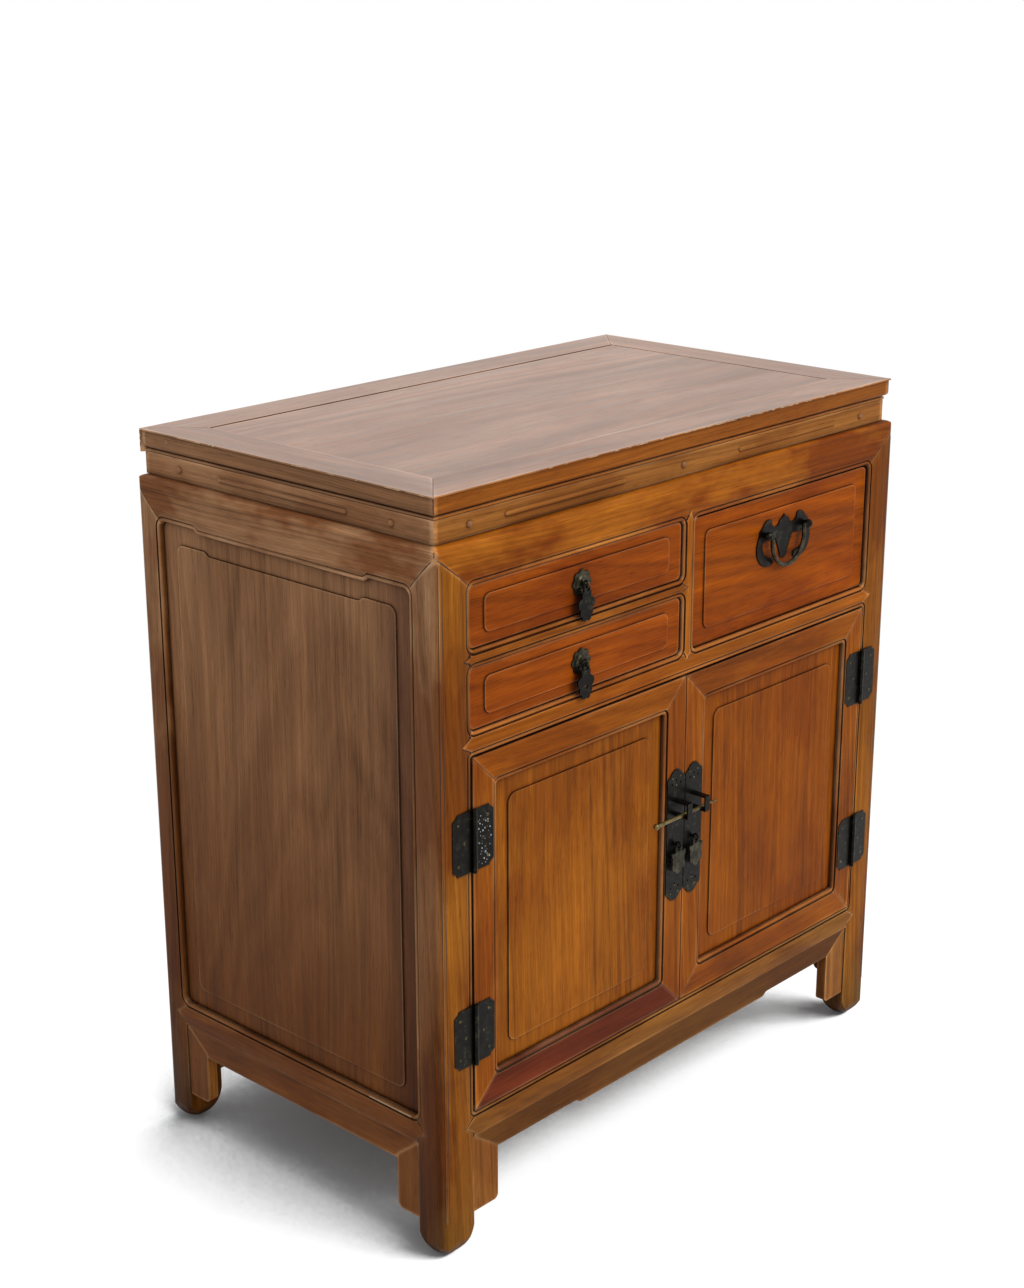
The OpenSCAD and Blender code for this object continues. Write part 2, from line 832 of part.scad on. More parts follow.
module mullion() {
    color("peru") {
        difference() {
            on_front() intersection() {
                translate([half_mullion, z_drawers - small_tip, 0]) rotate([0, 0, 90])
                    rail_length(drawer_zone_h + 2 * small_tip, mullion_w, rail_t);
                union() {
                    translate([-half_mullion - past, z_drawers, -rail_t - past])
                        cube([mullion_w + 2 * past, drawer_zone_h, rail_t + 2 * past]);
                    translate([half_mullion, z_top_rail, 0]) rotate([0, 0, 90]) point(mullion_w, small_tip);
                    translate([-half_mullion, z_drawers, 0]) rotate([0, 0, -90]) point(mullion_w, small_tip);
                }
            }
            on_front() {
                margin_cut(upper_opening);
                margin_cut(lower_opening);
                margin_cut(deep_opening);
                translate([-half_mullion, z_divider, 0]) point(divider_h, small_tip);
            }
        }
        on_front() {
            bead_right(upper_opening, rail_t);
            bead_right(lower_opening, rail_t);
            bead_left(deep_opening, rail_t);
        }
    }
}

// Aprons, mitred to the brackets at both ends
module apron_front() {
    low_x = inner_x - bracket_w;
    right = [for (p = ogee_points(apron_ogee_w)) [p.x, leg_h + p.y]];
    color("peru") on_front() translate([0, 0, -apron_setback - apron_t]) linear_extrude(apron_t)
        polygon(concat([[-inner_x, z_bottom_rail], [inner_x, z_bottom_rail], [low_x, leg_h]], right,
            [for (i = [len(right) - 1:-1:0]) [-right[i].x, right[i].y]], [[-low_x, leg_h]]));
}

module apron_plain(l, w) {
    translate([0, 0, -apron_setback - apron_t]) linear_extrude(apron_t)
        polygon([[-l / 2, z_bottom_rail], [l / 2, z_bottom_rail], [l / 2 - w, leg_h],
            [l / 2 - w, apron_low], [-l / 2 + w, apron_low], [-l / 2 + w, leg_h]]);
}

module apron_back() {
    color("saddlebrown") on_back() apron_plain(2 * inner_x, bracket_w);
}

module aprons_side() {
    color("saddlebrown") both_sides() on_left() apron_plain(side_w, bracket_side_w);
}

// A bracket in a face, its post edge at x = 0 and growing along +X
module bracket(w) {
    translate([0, 0, -apron_setback - apron_t]) linear_extrude(apron_t) difference() {
        union() {
            translate([0, bracket_foot]) rounded_rect(w, leg_h - bracket_foot + bracket_r, bracket_r);
            translate([0, bracket_foot]) square([bracket_r, bracket_r]);
            translate([0, leg_h - bracket_r]) square([w, bracket_r]);
            polygon([[0, leg_h], [0, z_bottom_rail], [w, leg_h]]);
        }
        translate([0, leg_h]) polygon([[0, apron_h], [w, 0], [w + past, 0], [w + past, apron_h + past],
            [0, apron_h + past]]);
    }
}

module leg_brackets() {
    color("peru") {
        both_sides() {
            on_front() translate([-inner_x, 0, 0]) bracket(bracket_w);
            on_back() translate([-inner_x, 0, 0]) bracket(bracket_w);
            on_left() translate([-side_w / 2, 0, 0]) bracket(bracket_side_w);
            on_left() translate([side_w / 2, 0, 0]) mirror([1, 0, 0]) bracket(bracket_side_w);
        }
    }
}

// The raised field of a panel: a rounded rectangle of width w and height h from the origin
module field(w, h) {
    linear_extrude(field_h) rounded_rect(w, h, field_r);
}

module side_panel_left() {
    m = side_field_margin;
    on_left() {
        translate([-side_w / 2 - groove + groove_play, z_door - groove + groove_play,
            -side_recess - side_panel_t])
            cube([side_w + 2 * (groove - groove_play), side_h + 2 * (groove - groove_play), side_panel_t]);
        translate([0, 0, -side_recess]) linear_extrude(field_h) difference() {
            translate([-side_w / 2 + m, z_door + m]) rounded_rect(side_w - 2 * m, side_h - 2 * m, field_r);
            translate([0, z_top_rail - m]) ogee_lip(side_ogee_w - m);
        }
    }
}

module side_panels() {
    color("sienna") both_sides() side_panel_left();
}

module back_panel() {
    color("saddlebrown") on_back()
        translate([-inner_x - groove + groove_play, z_door - groove + groove_play,
            -back_recess - back_panel_t])
        cube([2 * (inner_x + groove - groove_play), side_h + 2 * (groove - groove_play), back_panel_t]);
}

// Floor of the cupboard: a board level with the bottom rails' tops, tongued into them
floor_z = z_door - floor_t - 4;
floor_tongue = 8;
side_inner = body_w / 2 - rail_t;

module floor_groove() {
    translate([-side_inner - floor_tongue, front_y + rail_t - floor_tongue, floor_z])
        cube([2 * (side_inner + floor_tongue), body_d - 2 * rail_t + 2 * floor_tongue, floor_t]);
}

module cupboard_floor() {
    play = groove_play;
    color("burlywood") difference() {
        translate([-side_inner - floor_tongue + play, front_y + rail_t - floor_tongue + play, floor_z])
            cube([2 * (side_inner + floor_tongue - play),
                body_d - 2 * rail_t + 2 * floor_tongue - 2 * play, floor_t]);
        for (x = [-1, 1]) {
            translate([x > 0 ? body_w / 2 - post_w - play : -body_w / 2, front_y, floor_z - past])
                cube([post_w + play, post_d + play, floor_t + 2 * past]);
            translate([x > 0 ? body_w / 2 - post_w - play : -body_w / 2, back_y - post_d - play,
                floor_z - past])
                cube([post_w + play, post_d + play, floor_t + 2 * past]);
        }
    }
}

// Inside width between the side panels' backs
panel_back_x = body_w / 2 - side_recess - side_panel_t;
board_y = front_y + rail_t;
board_l = back_y - back_recess - back_panel_t - board_y;
post_notch_y = post_d - rail_t;

// A board across the inside, from the front rail to the back panel, clear of the posts
module inside_board(z, t) {
    difference() {
        translate([-panel_back_x, board_y, z]) cube([2 * panel_back_x, board_l, t]);
        for (m = [0, 1]) mirror([m, 0, 0]) {
            translate([-body_w / 2, front_y, z - past]) cube([post_w, post_d, t + 2 * past]);
            translate([-body_w / 2, back_y - post_d, z - past]) cube([post_w, post_d, t + 2 * past]);
        }
    }
}

module dust_board() {
    color("burlywood") inside_board(z_drawers - dust_t, dust_t);
}

module drawer_partition() {
    color("burlywood") translate([-partition_t / 2, board_y, z_drawers])
        cube([partition_t, board_l, z_top_rail - z_drawers]);
}

// Runners and guides: a drawer's sides run between guides that stand drawer_play off them
runner_w = 18;
runner_h = 12;
guide_h = 10;
guide_x = inner_x - drawer_gap - drawer_box_inset + drawer_play;
guide_mullion_x = half_mullion + drawer_gap + drawer_box_inset - drawer_play;
z_runner = z_divider + divider_h;

module drawer_runners() {
    color("burlywood") {
        for (x = [-panel_back_x, guide_x]) translate([x, front_y + post_d, z_drawers])
            cube([panel_back_x - guide_x, side_w, guide_h]);
        for (x = [-guide_mullion_x, partition_t / 2]) translate([x, board_y, z_drawers])
            cube([guide_mullion_x - partition_t / 2, board_l, guide_h]);
        translate([-panel_back_x, front_y + post_d, z_runner - runner_h])
            cube([panel_back_x - guide_x + runner_w, side_w, runner_h]);
        translate([-panel_back_x, front_y + post_d, z_runner])
            cube([panel_back_x - guide_x, side_w, guide_h]);
        translate([-guide_mullion_x - runner_w, board_y, z_runner - runner_h])
            cube([guide_mullion_x - partition_t / 2 + runner_w, board_l, runner_h]);
        translate([-guide_mullion_x, board_y, z_runner])
            cube([guide_mullion_x - partition_t / 2, board_l, guide_h]);
    }
}

// Section of the top's frame: x runs inwards from the edge, y up; under a thin lip a flat face
// that rounds inwards, then a groove and a bead
module top_edge_section() {
    lip_t = 1.6;
    face_in = 1.8;
    round_r = 4.4;
    round_y = 9.5;
    core_in = 6.4;
    bead = 2;
    joint = 0.3;
    difference() {
        union() {
            translate([core_in, 0]) square([top_frame_w - core_in, top_t]);
            translate([0, top_t - lip_t]) square([core_in + 1, lip_t]);
            translate([face_in, round_y - joint]) square([core_in, top_t - lip_t - round_y + 2 * joint]);
            translate([face_in + round_r + past / 20, round_y]) circle(round_r);
            translate([core_in + 2 * joint, bead + joint]) circle(bead);
        }
        translate([top_frame_w - top_groove, top_t - top_panel_t - 7.4]) square([top_groove + past, 6.4]);
    }
}

module top_edge_plain() {
    difference() {
        square([top_frame_w, top_t]);
        translate([top_frame_w - top_groove, top_t - top_panel_t - 7.4]) square([top_groove + past, 6.4]);
    }
}

// One member of the top's frame over a length l, outer edge along y = 0, mitred at both ends
module top_member(l, plain) {
    intersection() {
        translate([-l / 2, 0, z_top]) rotate([90, 0, 90]) linear_extrude(l) {
            if (plain) top_edge_plain();
            else top_edge_section();
        }
        translate([0, 0, z_top - past]) linear_extrude(top_t + 2 * past)
            polygon([[-l / 2, 0], [l / 2, 0], [l / 2 - top_frame_w, top_frame_w],
                [-l / 2 + top_frame_w, top_frame_w]]);
    }
}

module top_frame_front() {
    color("tan") translate([0, front_y + top_setback, 0]) top_member(top_w, false);
}

module top_frame_back() {
    color("tan") translate([0, back_y - top_setback, 0]) mirror([0, 1, 0]) top_member(top_w, true);
}

module top_frame_ends() {
    color("tan") both_sides()
        translate([-top_w / 2, mid_y, 0]) rotate([0, 0, -90]) top_member(top_d, false);
}

module top_panel() {
    inner_w = top_w - 2 * top_frame_w;
    inner_d = top_d - 2 * top_frame_w;
    tongue_z = z_top + top_t - top_panel_t - 7.2;
    color("tan") {
        translate([-inner_w / 2 + top_panel_gap, front_y + top_setback + top_frame_w + top_panel_gap,
            tongue_z])
            cube([inner_w - 2 * top_panel_gap, inner_d - top_panel_gap - top_back_gap,
                top_panel_t + 7.2 - 0.3]);
        translate([-inner_w / 2 - top_groove + past, front_y + top_setback + top_frame_w - top_groove + past,
            tongue_z])
            cube([inner_w + 2 * (top_groove - past), inner_d + 2 * (top_groove - past), 6]);
    }
}

// A raised bar with round ends on the waist, its middle at the origin, along local x
module waist_bar(l) {
    sunk = waist_bar_r - 2;
    translate([0, 0, -sunk]) {
        translate([-l / 2 + waist_bar_r, 0, 0]) rotate([0, 90, 0])
            cylinder(r = waist_bar_r, h = l - 2 * waist_bar_r);
        for (x = [-1, 1]) translate([x * (l / 2 - waist_bar_r), 0, 0]) sphere(waist_bar_r);
    }
}

waist_w = body_w - 2 * waist_setback;
waist_d = body_d - waist_setback - waist_back_setback;
waist_bar_x = 186;

// A waist board of length l along x, face at y = 0, mitred where asked
module waist_board(l) {
    linear_extrude(waist_h) polygon([[-l / 2, 0], [l / 2, 0], [l / 2 - waist_t, waist_t],
        [-l / 2 + waist_t, waist_t]]);
}

module waist_front() {
    color("peru") {
        translate([0, front_y + waist_setback, z_waist]) waist_board(waist_w);
        for (x = [-1, 1]) translate([x * waist_bar_x, front_y + waist_setback, z_waist + waist_h / 2])
            rotate([90, 0, 0]) waist_bar(waist_bar_w);
    }
}

module waist_back() {
    color("saddlebrown") translate([0, back_y - waist_back_setback, z_waist]) mirror([0, 1, 0])
        waist_board(waist_w);
}

module waist_ends() {
    waist_mid_y = (front_y + waist_setback + back_y - waist_back_setback) / 2;
    color("saddlebrown") both_sides() translate([-waist_w / 2, waist_mid_y, 0]) rotate([0, 0, -90]) {
        translate([0, 0, z_waist]) waist_board(waist_d);
        translate([0, 0, z_waist + waist_h / 2]) rotate([90, 0, 0]) waist_bar(waist_side_bar_w);
    }
}

// Doors, built as the left one with its hinge edge at the left post
door_w = inner_x - 1.5 * door_gap;
door_h = door_zone_h - 2 * door_gap;
door_x = -inner_x + door_gap;
door_z = z_door + door_gap;
door_inside = [door_x + door_frame_w, door_z + door_frame_w, door_w - 2 * door_frame_w,
    door_h - 2 * door_frame_w, door_open_r];

// A member of a door's frame, outer edge along y = 0, mitred at both ends, face at z = 0
module door_member(l) {
    difference() {
        translate([0, 0, -door_t]) linear_extrude(door_t)
            polygon([[0, 0], [l, 0], [l - door_frame_w, door_frame_w], [door_frame_w, door_frame_w]]);
        translate([0, door_frame_w - groove, -door_recess - door_panel_t])
            cube([l, groove + past, door_panel_t + groove_play]);
    }
}

module door_stiles() {
    on_front() {
        difference() {
            union() {
                translate([door_x, door_z + door_h, 0]) rotate([0, 0, -90]) door_member(door_h);
                translate([door_x + door_w, door_z, 0]) rotate([0, 0, 90]) door_member(door_h);
            }
            margin_cut(door_inside);
            door_leaf_seats();
        }
        bead_left(door_inside, door_recess);
        bead_right(door_inside, door_recess);
    }
}

module door_rails() {
    on_front() {
        difference() {
            union() {
                translate([door_x, door_z, 0]) door_member(door_w);
                translate([door_x + door_w, door_z + door_h, 0]) rotate([0, 0, 180]) door_member(door_w);
            }
            margin_cut(door_inside);
        }
        bead_above(door_inside, door_recess);
        bead_below(door_inside, door_recess);
    }
}

module door_panel() {
    grow = groove - groove_play;
    m = door_field_margin;
    on_front() {
        translate([door_inside[0] - grow, door_inside[1] - grow, -door_recess - door_panel_t])
            cube([door_inside[2] + 2 * grow, door_inside[3] + 2 * grow, door_panel_t]);
        translate([door_inside[0] + m, door_inside[1] + m, -door_recess])
            field(door_inside[2] - 2 * m, door_inside[3] - 2 * m);
    }
}

// Hinges, on the left door: the pin's axis lies in the gap, in front of the faces
seat = 0.35;
hinge_x = -inner_x + door_gap / 2;
hinge_out = barrel_r + 0.3;
knuckle_h = (hinge_h - 2 * knuckle_gap) / 3;
hinge_levels = [z_door + hinge_low, z_middle - hinge_high];

// Outline of a leaf growing along +X from x = 0, the far corners cut
module leaf_outline() {
    polygon([[0, 0], [hinge_leaf_w - hinge_clip, 0], [hinge_leaf_w - hinge_clip, hinge_clip / 3],
        [hinge_leaf_w, hinge_clip], [hinge_leaf_w, hinge_h - hinge_clip],
        [hinge_leaf_w - hinge_clip, hinge_h - hinge_clip / 3], [hinge_leaf_w - hinge_clip, hinge_h],
        [0, hinge_h]]);
}

// A leaf growing along +X from the pin's axis at the origin; outer leaves hold the end knuckles
module hinge_leaf(outer) {
    clear = barrel_r + knuckle_gap;
    step = knuckle_h + knuckle_gap;
    starts = outer ? [0, 2 * step] : [step];
    difference() {
        union() {
            translate([0, 0, -seat]) linear_extrude(hinge_t) intersection() {
                leaf_outline();
                union() {
                    translate([clear, 0]) square([hinge_leaf_w, hinge_h]);
                    for (y = starts) translate([0, y]) square([clear + past, knuckle_h]);
                }
            }
            for (y = starts) translate([0, y, hinge_out]) rotate([-90, 0, 0])
                cylinder(r = barrel_r, h = knuckle_h);
        }
        translate([0, -past, hinge_out]) rotate([-90, 0, 0])
            cylinder(r = hinge_pin_r + pin_play, h = hinge_h + 2 * past);
    }
}

// Shallow seats of the leaves in post and door, from the faces inwards
module hinge_seats() {
    on_front() for (z = hinge_levels) translate([hinge_x, z - hinge_h / 2, -seat]) mirror([1, 0, 0])
        linear_extrude(seat + past) leaf_outline();
}

module door_leaf_seats() {
    for (z = hinge_levels) translate([hinge_x, z - hinge_h / 2, -seat])
        linear_extrude(seat + past) leaf_outline();
}

module door_hinge_leaves() {
    color("dimgray") on_front() for (z = hinge_levels) translate([hinge_x, z - hinge_h / 2, 0])
        hinge_leaf(false);
}

module post_hinge_leaves() {
    color("dimgray") both_sides() on_front() for (z = hinge_levels)
        translate([hinge_x, z - hinge_h / 2, 0]) mirror([1, 0, 0]) hinge_leaf(true);
}

module hinge_pins() {
    head_h = 1;
    color("dimgray") both_sides() on_front() for (z = hinge_levels)
        translate([hinge_x, z - hinge_h / 2, hinge_out]) rotate([-90, 0, 0]) {
            translate([0, 0, -head_h]) cylinder(r = barrel_r - 0.3, h = head_h);
            translate([0, 0, -head_h / 2]) cylinder(r = hinge_pin_r, h = hinge_h + head_h);
            translate([0, 0, hinge_h]) cylinder(r = barrel_r - 0.3, h = head_h);
        }
}

// Lock plate half on the left door, with three lobes and three pierced dots at each end
lock_bottom = z_door + lock_z;
dot_r = 1.3;
dot_in = 16;

module lock_plate() {
    end_r = 10.5;
    side_in = 13;
    color("dimgray") on_front() {
        translate([-door_gap / 2 - lock_w / 2, lock_bottom, 0]) linear_extrude(lock_t) difference() {
            union() {
                translate([-lock_w / 2, side_in - past]) square([lock_w, lock_h - 2 * (side_in - past)]);
                for (y = [end_r, lock_h - end_r]) translate([0, y]) circle(end_r);
                for (x = [-1, 1], y = [side_in, lock_h - side_in])
                    translate([x * (lock_w / 2 - lock_r + past / 4), y]) circle(lock_r);
            }
            for (y = [dot_in, lock_h - dot_in], dot = [[-7, 0], [0, 4], [7, 0]])
                translate([dot.x, y + dot.y]) circle(dot_r);
        }
        translate([-staple_x, lock_bottom + door_pull_rise, lock_t]) eye_ring();
    }
}

// A ring standing out of a plate, its hole along x, with the stem that holds it
eye_out = eye_r + 1.6;

module eye_ring() {
    translate([0, 0, eye_out]) rotate([0, 90, 0]) rotate_extrude() translate([eye_r, 0]) circle(eye_wire);
    cylinder(r = eye_wire + 0.5, h = eye_out - eye_r);
}

// How far below an eye's middle the wire of a hanging loop lies
hang = eye_r - eye_wire - loop_wire - 0.3;

// The loop at the top of a pull, its upper wire passing through the origin
module pull_loop() {
    translate([0, -loop_r, 0]) rotate_extrude() translate([loop_r, 0]) circle(loop_wire);
}

// The plate of a door pull: a notched bar above a basket with three lobes along its foot
module door_pull_plate() {
    bar_h = 4;
    w = door_pull_w;
    foot_r = 4.6;
    middle_r = 5.8;
    side_in = 1.2;
    translate([0, -2 * loop_r - bar_h, -pull_t / 2]) linear_extrude(pull_t) {
        difference() {
            translate([-w / 2, 0]) square([w, bar_h + 1]);
            for (x = [-w / 3, -w / 9, w / 9, w / 3]) translate([x, bar_h + 1]) circle(1.1);
        }
        translate([-w / 2 + side_in, -door_pull_h + 2 * foot_r])
            square([w - 2 * side_in, door_pull_h - 2 * foot_r + 0.5]);
        for (x = [-1, 1]) translate([x * (w / 2 - side_in - foot_r + 0.2), -door_pull_h + 2 * foot_r - 0.4])
            circle(foot_r);
        translate([0, -door_pull_h + middle_r]) circle(middle_r);
    }
}

module door_pull() {
    color("darkkhaki") on_front()
        translate([-staple_x, lock_bottom + door_pull_rise - hang, lock_t + eye_out]) {
            pull_loop();
            door_pull_plate();
        }
}

// A staple: a strap bent to three sides of a rectangle, open along x
module staple() {
    color("dimgray") on_front()
        translate([-staple_x - staple_w / 2, lock_bottom + staple_rise - staple_h / 2, lock_t])
        rotate([0, 90, 0]) linear_extrude(staple_w) difference() {
            translate([-staple_reach, 0]) square([staple_reach, staple_h]);
            translate([-staple_reach + staple_t, staple_t])
                square([staple_reach, staple_h - 2 * staple_t]);
        }
}

latch_z = lock_bottom + staple_rise - staple_h / 2 + staple_t + latch_r + 0.3;

module latch_pin() {
    color("goldenrod") on_front() translate([-latch_head_x, latch_z, lock_t + latch_out])
        rotate([0, 90, 0]) {
            cylinder(r = latch_r, h = latch_l - latch_tip_l - latch_r);
            translate([0, 0, latch_l - latch_tip_l - latch_r])
                cylinder(r1 = latch_r, r2 = latch_tip_r, h = latch_r);
            translate([0, 0, latch_l - latch_tip_l - past]) cylinder(r = latch_tip_r, h = latch_tip_l + past);
            sphere(latch_ball_r);
        }
}

module door_left_stiles() { color("peru") door_stiles(); }
module door_left_rails() { color("peru") door_rails(); }
module door_left_panel() { color("chocolate") door_panel(); }
module door_left_hinge_leaves() { door_hinge_leaves(); }
module door_left_lock_plate() { lock_plate(); }
module door_left_staple() { staple(); }
module door_left_pull() { door_pull(); }
module door_right_stiles() { color("peru") mirror([1, 0, 0]) door_stiles(); }
module door_right_rails() { color("peru") mirror([1, 0, 0]) door_rails(); }
module door_right_panel() { color("chocolate") mirror([1, 0, 0]) door_panel(); }
module door_right_hinge_leaves() { mirror([1, 0, 0]) door_hinge_leaves(); }
module door_right_lock_plate() { mirror([1, 0, 0]) lock_plate(); }
module door_right_staple() { mirror([1, 0, 0]) staple(); }
module door_right_pull() { mirror([1, 0, 0]) door_pull(); }

// Drawers
module drawer_front(o, top_gap, recess, margin_v) {
    g = drawer_gap;
    w = o[2] - 2 * g;
    h = o[3] - g - top_gap;
    m = drawer_field_margin;
    color("chocolate") on_front() translate([o[0] + g, o[1] + g, -recess]) {
        translate([0, 0, -drawer_front_t]) linear_extrude(drawer_front_t)
            rounded_rect(w, h, o[4] - g / 2);
        translate([m, margin_v, 0]) linear_extrude(field_h)
            rounded_rect(w - 2 * m, h - 2 * margin_v, field_r - 2);
    }
}

// The box behind a drawer front: left and right sides and the back, three boards
function box_x(o) = o[0] + drawer_gap + drawer_box_inset;
function box_w(o) = o[2] - 2 * (drawer_gap + drawer_box_inset);
function box_z(o) = o[1] + drawer_play;
function box_h(o, top_gap) = o[3] - drawer_play - top_gap - drawer_side_drop;
joint_play = 0.1;
bottom_rise = 4;

module drawer_sides(o, top_gap, recess) {
    y0 = front_y + recess + drawer_front_t;
    l = drawer_l - drawer_front_t;
    w = box_w(o);
    h = box_h(o, top_gap);
    color("burlywood") difference() {
        union() {
            for (x = [0, w - drawer_side_t])
                translate([box_x(o) + x, y0, box_z(o)]) cube([drawer_side_t, l, h]);
            translate([box_x(o) + drawer_side_t + joint_play, y0 + l - drawer_side_t,
                box_z(o) + bottom_rise + drawer_bottom_t + joint_play])
                cube([w - 2 * (drawer_side_t + joint_play), drawer_side_t,
                    h - bottom_rise - drawer_bottom_t - joint_play]);
        }
        translate([box_x(o) + drawer_side_t / 2 - joint_play, y0 - past, box_z(o) + bottom_rise - joint_play])
            cube([w - drawer_side_t + 2 * joint_play, l + 2 * past, drawer_bottom_t + 2 * joint_play]);
    }
}

module drawer_bottom(o, recess) {
    y0 = front_y + recess + drawer_front_t;
    color("burlywood") translate([box_x(o) + drawer_side_t / 2, y0, box_z(o) + bottom_rise])
        cube([box_w(o) - drawer_side_t, drawer_l - drawer_front_t, drawer_bottom_t]);
}

// A lobed rosette with a boss and the eye of the pendant, on a small drawer
module rosette(o) {
    lobes = 8;
    color("dimgray") on_front()
        translate([o[0] + o[2] / 2, o[1] + o[3] / 2 + pendant_rise, field_h - small_recess]) {
            linear_extrude(rosette_t) {
                circle(rosette_r + lobe_r / 2);
                for (a = [0:lobes - 1]) rotate(a * 360 / lobes) translate([rosette_r, 0]) circle(lobe_r);
            }
            cylinder(r1 = 10, r2 = 6, h = rosette_t + 1.4);
            translate([0, 0, rosette_t + 1]) eye_ring();
        }
}

// A pendant: a plate hanging by its loop, with a neck, wide shoulders and lobes narrowing to its tip
module pendant_plate(pierced) {
    w = pendant_w;
    h = pendant_h;
    neck = 0.26;
    translate([0, -2 * loop_r, -pull_t / 2]) linear_extrude(pull_t) difference() {
        union() {
            translate([-w * neck, -h * 0.75]) square([w * 2 * neck, h * 0.75 + 1.5]);
            translate([-w * 0.1, -h * 0.88]) square([w * 0.2, h * 0.3]);
            for (x = [-1, 1]) {
                translate([x * w * 0.25, -h * 0.38]) circle(w * 0.25);
                translate([x * w * 0.2, -h * 0.67]) circle(w * 0.19);
                translate([x * w * 0.12, -h * 0.88]) circle(h * 0.12);
            }
        }
        if (pierced) translate([0, -h * 0.55]) circle(2.4);
    }
}

module pendant(o, pierced) {
    color("darkkhaki") on_front()
        translate([o[0] + o[2] / 2, o[1] + o[3] / 2 + pendant_rise - hang,
            field_h - small_recess + rosette_t + 1 + eye_out]) {
            pull_loop();
            pendant_plate(pierced);
        }
}

// The bat, its origin between the bail's pivots: a pointed head between two round bites, horned
// wings that reach the pivots and sweep down to rounded blades, and a tapering body
wing_r = 23;
wing_hollow_r = 17.5;
blade_end = [-23, -33.5];

module bat_wing() {
    difference() {
        translate([-27, -15]) circle(wing_r);
        translate([-22.5, -12]) circle(wing_hollow_r);
        translate([blade_end.x, -60]) square([60, 100]);
    }
    translate(blade_end) circle(4.1);
    translate([-bail_span / 2, 0]) circle(8.5);
    difference() {
        translate([-29, 4]) circle(11.5);
        translate([-60, -40]) square([80, 40]);
    }
}

module bat_outline() {
    difference() {
        union() {
            for (m = [0, 1]) mirror([m, 0]) bat_wing();
            translate([-30, -7]) square([60, 14]);
            translate([0, -2]) circle(16);
        }
        for (x = [-1, 1]) translate([x * 16, 13.5]) circle(8);
    }
    translate([0, 5]) circle(8.5);
    polygon([[-7, 9.8], [0, 17.5], [7, 9.8]]);
    polygon([[-16, -6], [16, -6], [7, -26], [-7, -26]]);
    translate([0, -26]) circle(7);
}

bail_x = deep_opening[0] + deep_opening[2] / 2;
bail_z = deep_opening[1] + bail_rise;
bat_z = field_h - deep_recess;
bail_pivot_y = front_y - bat_z - bail_out;
bail_r = bail_span / 2 - bail_ball_r - bail_rod_r - 0.4;

module bat_plate() {
    color("dimgray") on_front() translate([bail_x, bail_z, bat_z]) difference() {
        union() {
            linear_extrude(bat_t) bat_outline();
            for (x = [-1, 1]) translate([x * bail_span / 2, 0, 0]) {
                cylinder(r = 3.2, h = bail_out);
                translate([0, 0, bail_out]) sphere(bail_ball_r);
            }
        }
        translate([-bail_span, 0, bail_out]) rotate([0, 90, 0])
            cylinder(r = bail_end_r + pin_play, h = 2 * bail_span);
    }
}

module bail() {
    color("darkkhaki") on_front() translate([bail_x, bail_z, bat_z + bail_out]) {
        translate([0, -bail_drop, 0]) rotate([0, 0, 180]) rotate_extrude(angle = 180)
            translate([bail_r, 0]) circle(bail_rod_r);
        for (x = [-1, 1]) translate([x * bail_r, 0, 0]) {
            sphere(bail_rod_r);
            rotate([90, 0, 0]) cylinder(r = bail_rod_r, h = bail_drop);
            rotate([0, x * 90, 0]) cylinder(r = bail_end_r, h = bail_span / 2 + bail_ball_r - bail_r - 0.5);
        }
    }
}

module drawer_upper_front() { drawer_front(upper_opening, drawer_gap, small_recess, small_field_margin); }
module drawer_upper_sides() { drawer_sides(upper_opening, drawer_gap, small_recess); }
module drawer_upper_bottom() { drawer_bottom(upper_opening, small_recess); }
module drawer_upper_rosette() { rosette(upper_opening); }
module drawer_upper_pendant() { pendant(upper_opening, false); }
module drawer_lower_front() { drawer_front(lower_opening, drawer_gap, small_recess, small_field_margin); }
module drawer_lower_sides() { drawer_sides(lower_opening, drawer_gap, small_recess); }
module drawer_lower_bottom() { drawer_bottom(lower_opening, small_recess); }
module drawer_lower_rosette() { rosette(lower_opening); }
module drawer_lower_pendant() { pendant(lower_opening, true); }
module drawer_deep_front() {
    drawer_front(deep_opening, deep_drawer_top_gap, deep_recess, drawer_field_margin - 4);
}
module drawer_deep_sides() { drawer_sides(deep_opening, deep_drawer_top_gap, deep_recess); }
module drawer_deep_bottom() { drawer_bottom(deep_opening, deep_recess); }
module drawer_deep_bat_plate() { bat_plate(); }
module drawer_deep_bail() { bail(); }

top_frame_front();
top_frame_back();
top_frame_ends();
top_panel();
waist_front();
waist_back();
waist_ends();
posts_front();
posts_back();
top_rail_front();
top_rail_back();
top_rails_side();
bottom_rail_front();
bottom_rail_back();
bottom_rails_side();
middle_rail();
divider_rail();
mullion();
apron_front();
apron_back();
aprons_side();
leg_brackets();
side_panels();
back_panel();
cupboard_floor();
dust_board();
drawer_partition();
drawer_runners();
post_hinge_leaves();
hinge_pins();
door_left_stiles();
door_left_rails();
door_left_panel();
door_left_hinge_leaves();
door_left_lock_plate();
door_left_staple();
door_left_pull();
door_right_stiles();
door_right_rails();
door_right_panel();
door_right_hinge_leaves();
door_right_lock_plate();
door_right_staple();
door_right_pull();
latch_pin();
drawer_upper_front();
drawer_upper_sides();
drawer_upper_bottom();
drawer_upper_rosette();
drawer_upper_pendant();
drawer_lower_front();
drawer_lower_sides();
drawer_lower_bottom();
drawer_lower_rosette();
drawer_lower_pendant();
drawer_deep_front();
drawer_deep_sides();
drawer_deep_bottom();
drawer_deep_bat_plate();
drawer_deep_bail();
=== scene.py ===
"""Woods, brass, joint lines, nails and wear of a waisted side cabinet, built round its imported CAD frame."""
import math
import random

